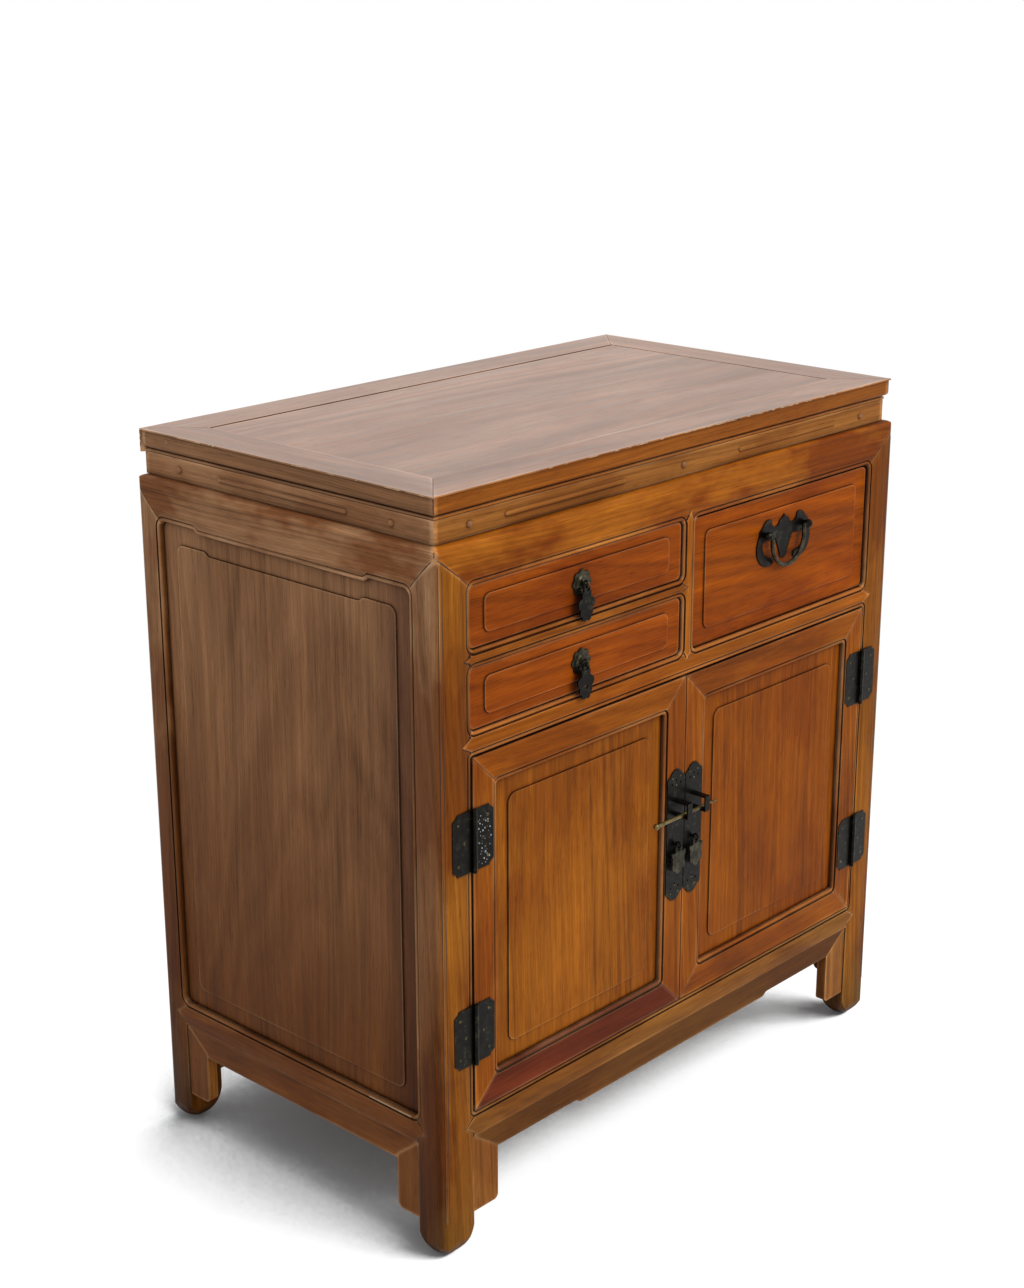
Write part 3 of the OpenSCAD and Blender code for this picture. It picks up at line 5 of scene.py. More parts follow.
import bpy
from bpy.props import FloatProperty, FloatVectorProperty, PointerProperty
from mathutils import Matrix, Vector
from mathutils.bvhtree import BVHTree


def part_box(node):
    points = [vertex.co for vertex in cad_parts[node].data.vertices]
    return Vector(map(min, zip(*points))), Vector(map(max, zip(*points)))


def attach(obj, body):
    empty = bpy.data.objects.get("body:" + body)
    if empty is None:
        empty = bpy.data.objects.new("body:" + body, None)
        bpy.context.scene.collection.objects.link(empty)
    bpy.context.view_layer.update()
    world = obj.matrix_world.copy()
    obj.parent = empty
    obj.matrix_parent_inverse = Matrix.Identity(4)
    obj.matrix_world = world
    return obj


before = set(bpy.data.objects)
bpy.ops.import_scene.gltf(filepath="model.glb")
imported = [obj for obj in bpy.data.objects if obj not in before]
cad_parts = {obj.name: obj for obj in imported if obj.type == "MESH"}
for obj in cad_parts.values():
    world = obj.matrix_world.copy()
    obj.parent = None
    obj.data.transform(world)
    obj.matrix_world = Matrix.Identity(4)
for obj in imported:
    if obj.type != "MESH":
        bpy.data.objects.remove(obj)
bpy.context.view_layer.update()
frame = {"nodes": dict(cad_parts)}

bl_info = {
    "name": "Side cabinet looks",
    "version": (1, 0, 0),
    "blender": (4, 5, 0),
    "location": "View3D > Sidebar > Side cabinet",
    "description": "Woods, brass, joint lines, nails and wear of a waisted side cabinet",
    "category": "Object",
}

MM = 0.001

# Sizes and colours a user would change


def colour(name, description, red, green, blue):
    """A colour property, given and shown as it looks on screen."""
    return FloatVectorProperty(
        name=name, description=description, subtype="COLOR_GAMMA", size=3, min=0.0, max=1.0,
        default=(red / 255, green / 255, blue / 255))


def length(name, description, millimetres, low=0.05, high=100.0):
    """A length property, whose default is given in millimetres."""
    return FloatProperty(
        name=name, description=description, unit="LENGTH", default=millimetres * MM,
        min=low * MM, max=high * MM)


class CabinetWoods(bpy.types.PropertyGroup):
    frame: colour("Frame", "Honey brown of the front frame", 158, 88, 20)
    post: colour("Posts", "Duller brown of the front posts", 146, 84, 20)
    waist: colour("Waist", "Honey brown of the waist's front", 160, 101, 44)
    lower: colour("Lower rail", "Duller brown of the rail under the doors", 148, 93, 36)
    apron: colour("Aprons", "Darker brown of the aprons", 107, 64, 24)
    leaf: colour("Door frames", "Brown of the doors' stiles and rails", 152, 80, 14)
    door_left: colour("Left door panel", "Honey brown of the left door's panel", 160, 90, 20)
    door_right: colour("Right door panel", "Redder brown of the right door's panel", 148, 76, 10)
    drawer: colour("Small drawers", "Redder brown of the small drawers' fronts", 146, 67, 7)
    deep: colour("Deep drawer", "Warm brown of the deep drawer's front", 154, 72, 3)
    edge: colour("Top's edge", "Brown of the front edge of the top", 150, 84, 24)
    # The top's pale tone is partly faded wood and partly a painted sheen
    top: colour("Top", "Faded pinkish brown of the top", 152, 113, 90)
    # The sides' tones are painted shade, darker than the fronts, and lighter and bluer high up as painted
    # light and painted reflection from the sky
    side_low: colour("Sides, low", "Brown of the two sides towards the floor", 104, 60, 27)
    side_high: colour("Sides, high", "Duller, faded brown of the two sides towards the top", 152, 110, 76)
    inner: colour("Inside", "Pale unfinished wood of the inner boards", 172, 132, 88)
    red: colour("Red rail", "Dark red brown of the left door's lower rail", 104, 42, 18)
    peg: colour("Pegs", "Dark brown of the peg heads in the waist", 142, 90, 42)
    chip: colour("Chips", "Pale wood where the edge is chipped", 206, 164, 120)
    seam: colour("Joint lines", "Dark line of a closed joint", 46, 22, 10)


class CabinetBrass(bpy.types.PropertyGroup):
    plate: colour("Plates", "Blackened brass of the hinges and plates", 24, 22, 18)
    handled: colour("Handled brass", "Darkened, rubbed brass of the bail, pulls and rosettes", 80, 75, 58)
    rod: colour("Latch pin", "Worn brass of the latch pin", 132, 116, 74)
    speck: colour("Specks", "Pale paint specks on the upper left hinge", 206, 214, 214)
    nail_r: length("Nail radius", "Radius of the hinge and plate nails' heads", 1.5, 0.5, 3.0)
    peg_r: length("Peg radius", "Radius of the peg heads in the waist", 3.7, 1.0, 7.0)


class CabinetStage(bpy.types.PropertyGroup):
    lens: FloatProperty(
        name="Lens", description="Focal length of the camera", default=60.17, min=20.0, max=200.0,
        unit="CAMERA")
    key: FloatProperty(
        name="Key light", description="Power of the large soft light at the front right",
        default=26.0, min=0.0, max=1000.0, unit="POWER")
    sky: FloatProperty(
        name="Sky", description="Strength of the soft light from all round", default=1.0,
        min=0.0, max=2.0, subtype="FACTOR")


def linear(srgb):
    """The linear RGBA of a colour that is given as it looks on screen."""
    channels = [c / 12.92 if c <= 0.04045 else ((c + 0.055) / 1.055) ** 2.4 for c in srgb]
    return (*channels, 1.0)


def shade(rgba, factor, warmth=1.0):
    """A darker or lighter relation of a colour; warmth above 1 takes blue out of it."""
    return (rgba[0] * factor, rgba[1] * factor / warmth ** 0.5, rgba[2] * factor / warmth, 1.0)


# Materials


class Shader:
    """The node tree of a material or a world, with short ways to add the nodes that the finishes use."""

    def __init__(self, owner):
        owner.use_nodes = True
        self.owner = owner
        self.tree = owner.node_tree
        self.tree.nodes.clear()

    def put(self, socket, value):
        if isinstance(value, bpy.types.NodeSocket):
            self.tree.links.new(value, socket)
        else:
            socket.default_value = value

    def add(self, kind, sockets=None, **settings):
        node = self.tree.nodes.new("ShaderNode" + kind)
        for name, value in settings.items():
            setattr(node, name, value)
        for key, value in (sockets or {}).items():
            self.put(node.inputs[key], value)
        return node

    def math(self, operation, a, b=0.0):
        return self.add("Math", {0: a, 1: b}, operation=operation).outputs[0]

    def vector(self, operation, a, b=(0.0, 0.0, 0.0)):
        node = self.add("VectorMath", {0: a, 1: b}, operation=operation)
        return node.outputs["Value" if operation in ("LENGTH", "DOT_PRODUCT") else "Vector"]

    def spread(self, value, low, high, to_low=0.0, to_high=1.0):
        return self.add("MapRange", {0: value, 1: low, 2: high, 3: to_low, 4: to_high}).outputs[0]

    def mix(self, factor, a, b, blend="MIX"):
        node = self.add("Mix", data_type="RGBA", blend_type=blend)
        for index, value in ((0, factor), (6, a), (7, b)):
            self.put(node.inputs[index], value)
        return node.outputs[2]

    def ramp(self, value, *stops):
        node = self.add("ValToRGB", {0: value})
        elements = node.color_ramp.elements
        while len(elements) < len(stops):
            elements.new(1.0)
        for element, (position, rgba) in zip(elements, stops):
            element.position = position
            element.color = rgba
        return node.outputs[0]

    def noise(self, place, scale, detail=2.0, roughness=0.5, output=0):
        """Noise that repeats scale times a metre, scale being a number or one for each axis."""
        if not isinstance(scale, (int, float)):
            place, scale = self.vector("MULTIPLY", place, scale), 1.0
        node = self.add("TexNoise", {"Vector": place, "Scale": scale, "Detail": detail,
                                     "Roughness": roughness})
        return node.outputs[output]

    def finish(self, sockets):
        surface = self.add("BsdfPrincipled", sockets).outputs[0]
        self.add("OutputMaterial", {"Surface": surface})
        return self.owner


# How the grain runs: the first two letters go across it, the last goes along it
GRAINS = {"x": "YZX", "y": "XZY", "z": "XYZ"}

# How far each board is moved on through the noise, so that no two boards are alike
BOARD_STEP = (0.37, 0.71, 1.31)

# What a wood's tone is multiplied by where it is porous, worn, near the front, waxed, darkened in nooks and
# creases by dirt and painted shade, or rubbed and lit by a painted highlight
PORE = (0.30, 0.18, 0.12, 1.0)
WORN_FOOT = (0.55, 0.70, 0.92, 1.0)
NEAR_FRONT = (0.58, 0.52, 0.56, 1.0)
WAX_DARK = (0.52, 0.32, 0.18, 1.0)
WAX_PALE = (1.30, 1.42, 1.50, 1.0)
# Nooks and creases are darkened: dirt and painted shade
NOOK_SHADE_AND_DIRT = (0.16, 0.08, 0.05, 1.0)
CREASE_SHADE_AND_DIRT = (0.20, 0.10, 0.06, 1.0)
# Thin edges are brightened: rubbed wear and a painted highlight
RUB_AND_HIGHLIGHT = (1.7, 1.8, 2.0, 1.0)

# The tone that shows through where an edge is rubbed bare, which also serves as a painted highlight
BARE_EDGE_AND_HIGHLIGHT = (0.70, 0.47, 0.24, 1.0)

# Between these heights, in metres, lies the top's upper face
TOP_FACE = (0.8185, 0.8195)


def lie_of_grain(s, axes, grain, seed):
    """Places in a board's own directions, two across its grain and one along it, which wander."""
    across, deep, along = (axes["XYZ".index(letter)] for letter in GRAINS[grain])
    run = s.add("CombineXYZ", {0: across, 1: deep, 2: along}).outputs[0]
    run = s.vector("ADD", run, tuple(seed * step for step in BOARD_STEP))
    wander = s.noise(run, (5.0, 5.0, 1.2), 2.0, output=1)
    wander = s.vector("MULTIPLY", s.vector("SUBTRACT", wander, (0.5, 0.5, 0.5)), (0.05, 0.05, 0.0))
    return s.vector("ADD", run, wander)


def growth_rings(s, run, seed):
    """Growth rings of a leaning trunk, whose heart lies outside the board."""
    parts = s.add("SeparateXYZ", {0: run}).outputs
    lean = s.math("ADD", parts[0], s.math("MULTIPLY", parts[2], 0.05))
    from_heart = s.add("CombineXYZ", {0: s.math("SUBTRACT", lean, seed * BOARD_STEP[0] + 0.04),
                                      1: s.math("SUBTRACT", parts[1], seed * BOARD_STEP[1] - 0.06)})
    radius = s.vector("LENGTH", from_heart.outputs[0])
    return s.add("TexNoise", {"W": s.math("MULTIPLY", radius, 170.0), "Scale": 1.0, "Detail": 2.0},
                 noise_dimensions="1D").outputs[0]


def shaded_and_soiled(s, base, crevice):
    """A wood's tone darkened in its nooks and creases, partly as dirt and partly as painted shade."""
    for distance, light, deep, shade_and_dirt in ((0.018, 0.86, 0.42, NOOK_SHADE_AND_DIRT), (0.0045, 0.90, 0.58, CREASE_SHADE_AND_DIRT)):
        hollow = s.add("AmbientOcclusion", {"Distance": distance}, samples=6).outputs["AO"]
        base = s.mix(s.spread(hollow, light, deep, 0.0, crevice), base, shade_and_dirt, "MULTIPLY")
    return base


def rubbed_and_highlit_edges(s, base, patches):
    """A wood's tone with its thin edges rubbed bare and brightened by a painted highlight in places."""
    rubbed = s.add("AmbientOcclusion", {"Distance": 0.005}, samples=6, inside=True).outputs["AO"]
    rubbed = s.math("MULTIPLY", s.spread(rubbed, 0.78, 0.46), s.spread(patches, 0.58, 0.42, 0.25, 1.0))
    base = s.mix(rubbed, base, RUB_AND_HIGHLIGHT, "MULTIPLY")
    return s.mix(s.math("MULTIPLY", rubbed, 0.22), base, BARE_EDGE_AND_HIGHLIGHT)


def wood(name, tones, grain, seed, figure=0.35, foot=0.0, red=None, edge=None, blotch=0.5, rough=0.42,
         crevice=0.9, sheen=0.05):
    """An oiled hardwood whose streaks, rings, fibres and pores run along one axis of the row frame.

    Its tones are those of faces to the front or back, of faces to the sides low down and high up,
    and of faces to the top: the sides' tones are painted shade, lighter high up as painted light from
    above, and the top's tone is partly a painted sheen. foot is how far its lowest part is worn darker,
    red is the tone of what lies below half its height, edge the two depths between which it darkens to
    the front, and blotch how far the wax has clouded it.
    """
    s = Shader(bpy.data.materials.new(name))
    coordinates = s.add("TexCoord").outputs
    axes = s.add("SeparateXYZ", {0: coordinates["Object"]}).outputs
    run = lie_of_grain(s, axes, grain, seed)
    broad = s.noise(run, (17.0, 17.0, 2.6), 3.0, 0.55)
    streaks = s.noise(run, (120.0, 120.0, 2.4), 3.0, 0.6)
    fibres = s.noise(run, (700.0, 700.0, 9.0), 2.0, 0.6)
    pores = s.spread(s.noise(run, (1300.0, 1300.0, 42.0), 2.0, 0.6), 0.58, 0.70)
    value = s.math("MULTIPLY", broad, 0.26)
    value = s.math("ADD", value, s.math("MULTIPLY", growth_rings(s, run, seed), figure * 0.6))
    value = s.math("ADD", value, s.math("MULTIPLY", streaks, 0.48 - figure * 0.6))
    value = s.math("ADD", value, s.math("MULTIPLY", fibres, 0.26))

    def toned(middle):
        return s.ramp(value, (0.36, shade(middle, 0.50, 1.10)), (0.46, shade(middle, 0.86, 1.04)),
                      (0.53, shade(middle, 1.08)), (0.63, shade(middle, 1.45, 0.95)))

    front, low, high, up = tones
    facing = s.add("SeparateXYZ", {0: coordinates["Normal"]}).outputs
    # Faces to the sides take the sides' tones instead of the front tone: painted shade, darker low down and
    # lighter high up as painted light from above
    sides = s.mix(s.spread(axes[2], 0.20, 0.78), toned(low), toned(high))
    base = s.mix(s.spread(s.math("ABSOLUTE", facing[0]), 0.25, 0.8), toned(front), sides) if front else sides
    # The top's upper face takes the top's tone, paler partly as a painted sheen, and a stronger gloss
    if up:
        flat = s.math("MULTIPLY", s.spread(facing[2], 0.6, 0.9), s.spread(axes[2], *TOP_FACE))
        base = s.mix(flat, base, toned(up))
        sheen = s.spread(flat, 0.0, 1.0, sheen, 0.6)
    if foot:
        height = s.math("ADD", axes[2], s.spread(broad, 0.3, 0.7, -0.05, 0.05))
        base = s.mix(s.spread(height, 0.16, 0.02, 0.0, foot), base, WORN_FOOT, "MULTIPLY")
    if edge:
        base = s.mix(s.spread(axes[1], *edge), base, NEAR_FRONT, "MULTIPLY")
    if red:
        base = s.mix(s.spread(axes[2], 0.36, 0.34), base, toned(red))
    patches = s.noise(run, (11.0, 11.0, 5.0), 4.0, 0.6)
    base = s.mix(s.spread(patches, 0.48, 0.57, 0.0, blotch), base, WAX_DARK, "MULTIPLY")
    base = s.mix(s.spread(patches, 0.46, 0.38, 0.0, blotch), base, WAX_PALE, "MULTIPLY")
    base = s.mix(s.math("MULTIPLY", pores, 0.55), base, PORE, "MULTIPLY")
    base = rubbed_and_highlit_edges(s, shaded_and_soiled(s, base, crevice), patches)
    grit = s.math("ADD", s.math("MULTIPLY", fibres, 0.6), s.math("MULTIPLY", pores, -0.5))
    relief = s.add("Bump", {"Strength": 0.16, "Distance": 0.0004, "Height": grit}).outputs[0]
    return s.finish({"Base Color": base, "Normal": relief,
                     "Roughness": s.spread(streaks, 0.3, 0.7, rough - 0.06, rough + 0.08),
                     "Specular IOR Level": sheen})


def patinated_brass(name, dark, worn, wear, rough, metal=0.8):
    """Brass gone dark, rubbed back to its colour in places, its thin rims lighter as rubbed brass and a
    painted highlight.
    """
    s = Shader(bpy.data.materials.new(name))
    place = s.add("TexCoord").outputs["Object"]
    cloud = s.noise(place, 130.0, 4.0, 0.65)
    speckle = s.noise(place, 900.0, 3.0, 0.7)
    rubbed = s.spread(s.math("ADD", s.math("MULTIPLY", cloud, 0.7), s.math("MULTIPLY", speckle, 0.3)),
                      0.62 - wear * 0.25, 0.74 - wear * 0.2)
    base = s.mix(s.spread(cloud, 0.35, 0.65), shade(dark, 0.7), shade(dark, 1.35))
    base = s.mix(rubbed, base, worn)
    # Thin rims are lighter: rubbed brass and a painted highlight
    rim = s.add("AmbientOcclusion", {"Distance": 0.0006}, samples=4, inside=True).outputs["AO"]
    rim = s.math("MULTIPLY", s.spread(rim, 0.75, 0.45, 0.0, 0.75), s.spread(speckle, 0.42, 0.56))
    base = s.mix(rim, base, shade(worn, 1.5))
    relief = s.add("Bump", {"Strength": 0.25, "Distance": 0.0003, "Height": speckle}).outputs[0]
    return s.finish({"Base Color": base, "Metallic": metal, "Normal": relief,
                     "Roughness": s.spread(cloud, 0.3, 0.7, rough + 0.08, rough - 0.06),
                     "Specular IOR Level": 0.15})


def matte(name, tone, rough=0.7):
    """A dull film with a slight mottle, for joint lines, chips and specks."""
    s = Shader(bpy.data.materials.new(name))
    mottle = s.spread(s.noise(s.add("TexCoord").outputs["Object"], 300.0, 3.0), 0.3, 0.7, 0.0, 1.0)
    return s.finish({"Base Color": s.mix(mottle, shade(tone, 0.75), shade(tone, 1.15)), "Roughness": rough})


def dress(node, material):
    """Gives a CAD node its material."""
    slots = frame["nodes"][node].data.materials
    slots.clear()
    slots.append(material)


# Each wooden node: its tone, the axis its grain runs along, and how strong its figure is
BOARDS = {
    "top_frame_front": ("top", "x", 0.3), "top_frame_back": ("top", "x", 0.3),
    "top_frame_ends": ("top", "y", 0.3), "top_panel": ("top", "x", 0.3),
    "waist_front": ("waist", "x", 0.4), "waist_back": ("waist", "x", 0.3), "waist_ends": ("waist", "y", 0.3),
    "posts_front": ("post", "z", 0.4), "posts_back": ("post", "z", 0.4),
    "top_rail_front": ("frame", "x", 0.5), "top_rail_back": ("frame", "x", 0.4),
    "top_rails_side": ("frame", "y", 0.5),
    "bottom_rail_front": ("lower", "x", 0.5), "bottom_rail_back": ("lower", "x", 0.4),
    "bottom_rails_side": ("lower", "y", 0.4),
    "middle_rail": ("leaf", "x", 0.4), "divider_rail": ("frame", "x", 0.4), "mullion": ("frame", "z", 0.4),
    "apron_front": ("apron", "x", 0.4), "apron_back": ("apron", "x", 0.4), "aprons_side": ("apron", "y", 0.3),
    "leg_brackets": ("waist", "z", 0.4), "side_panels": ("frame", "z", 0.2), "back_panel": ("post", "z", 0.3),
    "cupboard_floor": ("inner", "x", 0.3), "dust_board": ("inner", "x", 0.3),
    "drawer_partition": ("inner", "y", 0.3), "drawer_runners": ("inner", "y", 0.3),
    "door_left_stiles": ("leaf", "z", 0.5), "door_left_rails": ("leaf", "x", 0.5),
    "door_left_panel": ("door_left", "z", 0.35),
    "door_right_stiles": ("leaf", "z", 0.5), "door_right_rails": ("leaf", "x", 0.5),
    "door_right_panel": ("door_right", "z", 0.35),
    "drawer_upper_front": ("drawer", "x", 0.5), "drawer_lower_front": ("drawer", "x", 0.5),
    "drawer_deep_front": ("deep", "x", 0.45),
    "drawer_upper_sides": ("inner", "y", 0.3), "drawer_lower_sides": ("inner", "y", 0.3),
    "drawer_deep_sides": ("inner", "y", 0.3),
    "drawer_upper_bottom": ("inner", "y", 0.3), "drawer_lower_bottom": ("inner", "y", 0.3),
    "drawer_deep_bottom": ("inner", "y", 0.3),
}
PLATES = ("post_hinge_leaves", "hinge_pins", "door_left_hinge_leaves", "door_right_hinge_leaves",
          "door_left_lock_plate", "door_right_lock_plate", "door_left_staple", "door_right_staple",
          "drawer_upper_pendant", "drawer_lower_pendant", "drawer_deep_bat_plate")
HANDLED = ("drawer_deep_bail", "door_left_pull", "door_right_pull", "drawer_upper_rosette",
           "drawer_lower_rosette")


class CABINET_OT_woods(bpy.types.Operator):
    """Give every board of the cabinet its oiled hardwood"""
    bl_idname = "cabinet.woods"
    bl_label = "Woods"

    def execute(self, context):
        woods = context.scene.cabinet_woods
        tones = {name: linear(getattr(woods, name)) for name in CabinetWoods.__annotations__}
        for seed, (node, (tone, grain, figure)) in enumerate(BOARDS.items(), 1):
            low, high = tones["side_low"], tones["side_high"]
            if tone == "inner":
                mix, extra = (tones[tone],) * 3 + (None,), {"rough": 0.6, "crevice": 0.5, "blotch": 0.15}
            elif tone == "top":
                mix, extra = (tones["edge"], high, high, tones[tone]), {"rough": 0.36, "blotch": 0.2}
            else:
                # Pieces that face the sides take only the sides' painted shade and light, a little lighter
                # than the side panels'
                across = "side" in node or node.endswith("_ends")
                if across and node != "side_panels":
                    low, high = shade(low, 1.18), shade(high, 1.18)
                mix = (None if across else tones[tone], low, high, None)
                extra = {"blotch": 0.8 if node.startswith("top_rail") else 0.4}
            if node.startswith("posts"):
                extra.update(foot=0.9, blotch=0.6)
            if node == "side_panels":
                extra.update(edge=(-0.120, -0.155), blotch=0.15)
            if node == "door_left_rails":
                extra["red"] = tones["red"]
            dress(node, wood(node + "_wood", mix, grain, seed, figure, **extra))
        return {"FINISHED"}


class CABINET_OT_brass(bpy.types.Operator):
    """Give hinges, plates, pulls, pin and bail their dark or worn brass"""
    bl_idname = "cabinet.brass"
    bl_label = "Brass"

    def execute(self, context):
        brass = context.scene.cabinet_brass
        plate, handled, rod = linear(brass.plate), linear(brass.handled), linear(brass.rod)
        finishes = (
            (PLATES, patinated_brass("blackened_brass", plate, shade(handled, 0.8), 0.25, 0.33)),
            (HANDLED, patinated_brass("handled_brass", shade(handled, 0.35), handled, 0.55, 0.26)),
            (("latch_pin",), patinated_brass("worn_brass", shade(rod, 0.45), rod, 0.8, 0.32, 0.9)),
        )
        for nodes, material in finishes:
            for node in nodes:
                dress(node, material)
        return {"FINISHED"}


# Pieces laid on the CAD surface


def skin(*nodes):
    """What rays are cast against: the meshes of CAD nodes."""
    points, faces = [], []
    for node in nodes:
        mesh = frame["nodes"][node].data
        first = len(points)
        points += [vertex.co.copy() for vertex in mesh.vertices]
        faces += [[first + i for i in polygon.vertices] for polygon in mesh.polygons]
    return BVHTree.FromPolygons(points, faces)


def laid(tree, point, inward, reach=0.08):
    """Where a ray meets the skin, and the skin's outward normal there."""
    hit, normal, _, _ = tree.ray_cast(point - inward * reach, inward, 2 * reach)
    if hit is None:
        raise ValueError(f"nothing lies under {tuple(round(c, 4) for c in point)}")
    return hit, normal if normal.dot(inward) < 0 else -normal


def piece(name, points, faces, material, body, slot):
    """A mesh piece that rides on a body."""
    mesh = bpy.data.meshes.new(name)
    mesh.from_pydata([tuple(p) for p in points], [], faces)
    mesh.validate()
    mesh.update()
    thing = bpy.data.objects.new(name, mesh)
    thing.data.materials.append(material)
    bpy.context.scene.collection.objects.link(thing)
    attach(thing, body)
    return thing


def ribbon(tree, line, inward, width, lift=0.00008, depth=0.0005, step=0.0015):
    """Points and faces of a thin closed strip laid on the skin along a line."""
    route = []
    for start, end in zip(line, line[1:]):
        count = max(1, round((end - start).length / step))
        route += [start.lerp(end, i / count) for i in range(count)]
    route.append(line[-1])
    spots = [laid(tree, point, inward) for point in route]
    points, faces = [], []
    for i, (spot, normal) in enumerate(spots):
        before, after = spots[max(i - 1, 0)][0], spots[min(i + 1, len(spots) - 1)][0]
        sideways = (after - before).cross(-inward).normalized() * width / 2
        top, bottom = spot + normal * lift, spot - normal * depth
        points += [top - sideways, top + sideways, bottom + sideways, bottom - sideways]
        if i:
            a, b = 4 * (i - 1), 4 * i
            faces += [(a + k, a + (k + 1) % 4, b + (k + 1) % 4, b + k) for k in range(4)]
    last = 4 * (len(spots) - 1)
    faces += [(3, 2, 1, 0), (last, last + 1, last + 2, last + 3)]
    return points, faces


def joined(parts):
    """The points and faces of several parts put together."""
    points, faces = [], []
    for more_points, more_faces in parts:
        first = len(points)
        points += more_points
        faces += [tuple(first + i for i in face) for face in more_faces]
    return points, faces


def stud(centre, normal, radius, height, sides=16, rings=4):
    """Points and faces of a low domed nail head, closed below."""
    across = normal.orthogonal().normalized()
    up = normal.cross(across)
    points, faces = [centre - normal * 0.0004], []
    for ring in range(rings):
        tilt = ring / rings * math.pi / 2
        reach, rise = radius * math.cos(tilt), height * math.sin(tilt)
        for i in range(sides):
            turn = 2 * math.pi * i / sides
            points.append(centre + (across * math.cos(turn) + up * math.sin(turn)) * reach + normal * rise)
    points.append(centre + normal * height)
    for i in range(sides):
        j = (i + 1) % sides
        faces.append((0, 1 + j, 1 + i))
        for ring in range(rings - 1):
            a, b = 1 + ring * sides, 1 + (ring + 1) * sides
            faces.append((a + i, a + j, b + j, b + i))
        crown = 1 + (rings - 1) * sides
        faces.append((crown + i, crown + j, len(points) - 1))
    return points, faces


# Which way is inward, from the front, the left end, the right end and above
FRONT, LEFT, RIGHT, DOWN = (Vector(v) for v in ((0, 1, 0), (1, 0, 0), (-1, 0, 0), (0, 0, -1)))

# Places that the CAD sets, in millimetres
EDGE_X, INNER_X, HALF_MULLION = 385.0, 337.0, 10.0
FRONT_Y, BACK_Y, POST_D = -213.4, 234.6, 36.0
Z_BOTTOM, Z_DOOR, Z_MIDDLE, Z_DRAWERS, Z_DIVIDER, Z_RAIL, Z_MITRE, Z_WAIST = (
    130.0, 159.0, 552.0, 577.0, 642.5, 726.0, 764.0, 771.0)
MARGIN, TIP, SMALL_TIP = 5.6, 13.0, 9.0
PIN_X, HALF_LEAF, LEAF_Y = 336.25, 16.0, FRONT_Y - 1.2
HINGE_Z = (Z_DOOR + 91.0, Z_MIDDLE - 88.0)
PEG_Z, PEGS_X, PEGS_Y = 783.0, (-326.0, 0.0, 327.0), (-145.0, 172.0)
PEG_RISE, PLUG_Y, PLUG_Z = 2.6, 186.0, 811.0
POST_BEADS, POST_BEAD_Z, DIVIDER_H = (6.5, 10.5), 45.0, 18.0
WORN_BEAD_Y = (-168.0, -106.0)
TOP_SEAM_Z, TOP_MITRE, DOOR_MITRE = (801.0, 818.0), (0.8, 51.6), (0.5, 34.0)
HINGE_NAILS = ((5, -22), (-3, 0), (5, 22))
PLATE_NAILS = ((-6.4, 9), (6.4, 9), (0, 18), (-6.4, 147), (6.4, 147), (0, 138))

# Widths of the joint lines, in metres
WIDE_LINE, CORNER_LINE, FINE_LINE = 0.0010, 0.0007, 0.0006


def front(x, z):
    return Vector((x, FRONT_Y, z)) * MM


def side(x, y, z):
    return Vector((x, y, z)) * MM


def pointed(x, z, height, tip):
    """The V of a rail's pointed shoulder in the front, its base at x and its tip tip further."""
    return [front(x, z + 1.0), front(x, z + MARGIN), front(x + tip, z + height / 2),
            front(x, z + height - MARGIN), front(x, z + height - 1.0)]


def front_lines(carcass):
    """The posts' beads, the mitres and the pointed shoulders in the carcass's front."""
    lines = []
    for m in (-1, 1):
        lines += [[front(m * (EDGE_X - d), POST_BEAD_Z), front(m * (EDGE_X - d), Z_MITRE - 5 - d)]
                  for d in POST_BEADS]
        lines.append([front(m * (EDGE_X - 6), Z_MITRE - 4.2), front(m * (INNER_X - 2), Z_RAIL - 1.5)])
        for z, height in ((Z_BOTTOM, Z_DOOR - Z_BOTTOM), (Z_MIDDLE, Z_DRAWERS - Z_MIDDLE)):
            lines.append(pointed(m * INNER_X, z, height, m * TIP))
    lines.append(pointed(-INNER_X, Z_DIVIDER, DIVIDER_H, -SMALL_TIP))
    lines.append(pointed(-HALF_MULLION, Z_DIVIDER, DIVIDER_H, SMALL_TIP))
    for z, way in ((Z_RAIL, 1), (Z_DRAWERS, -1)):
        base = HALF_MULLION - MARGIN
        lines.append([front(-HALF_MULLION + 1, z), front(-base, z), front(0, z + way * SMALL_TIP),
                      front(base, z), front(HALF_MULLION - 1, z)])
    return [ribbon(carcass, line, FRONT, WIDE_LINE) for line in lines]


def side_lines(carcass):
    """The mitres and pointed shoulders in the carcass's two sides, and the mitres at the posts' corners."""
    parts = []
    for m, inward in ((-1, LEFT), (1, RIGHT)):
        x = m * EDGE_X
        for outer, way in ((FRONT_Y, 1), (BACK_Y, -1)):
            inner = outer + way * POST_D
            lines = [[side(x, outer + way * 6, Z_MITRE - 5.5), side(x, inner + way * 2, Z_RAIL - 1.5)],
                     [side(x, inner, Z_BOTTOM + 1), side(x, inner, Z_BOTTOM + MARGIN),
                      side(x, inner - way * TIP, (Z_BOTTOM + Z_DOOR) / 2),
                      side(x, inner, Z_DOOR - MARGIN), side(x, inner, Z_DOOR - 1)]]
            parts += [ribbon(carcass, line, inward, WIDE_LINE) for line in lines]
            slant = Vector((-m, way, 0)).normalized()
            corner = [side(x - m * 3.5, outer + way * 3.5, z) for z in (Z_MITRE - 2, Z_WAIST - 1.5)]
            parts.append(ribbon(carcass, corner, slant, CORNER_LINE))
    return parts


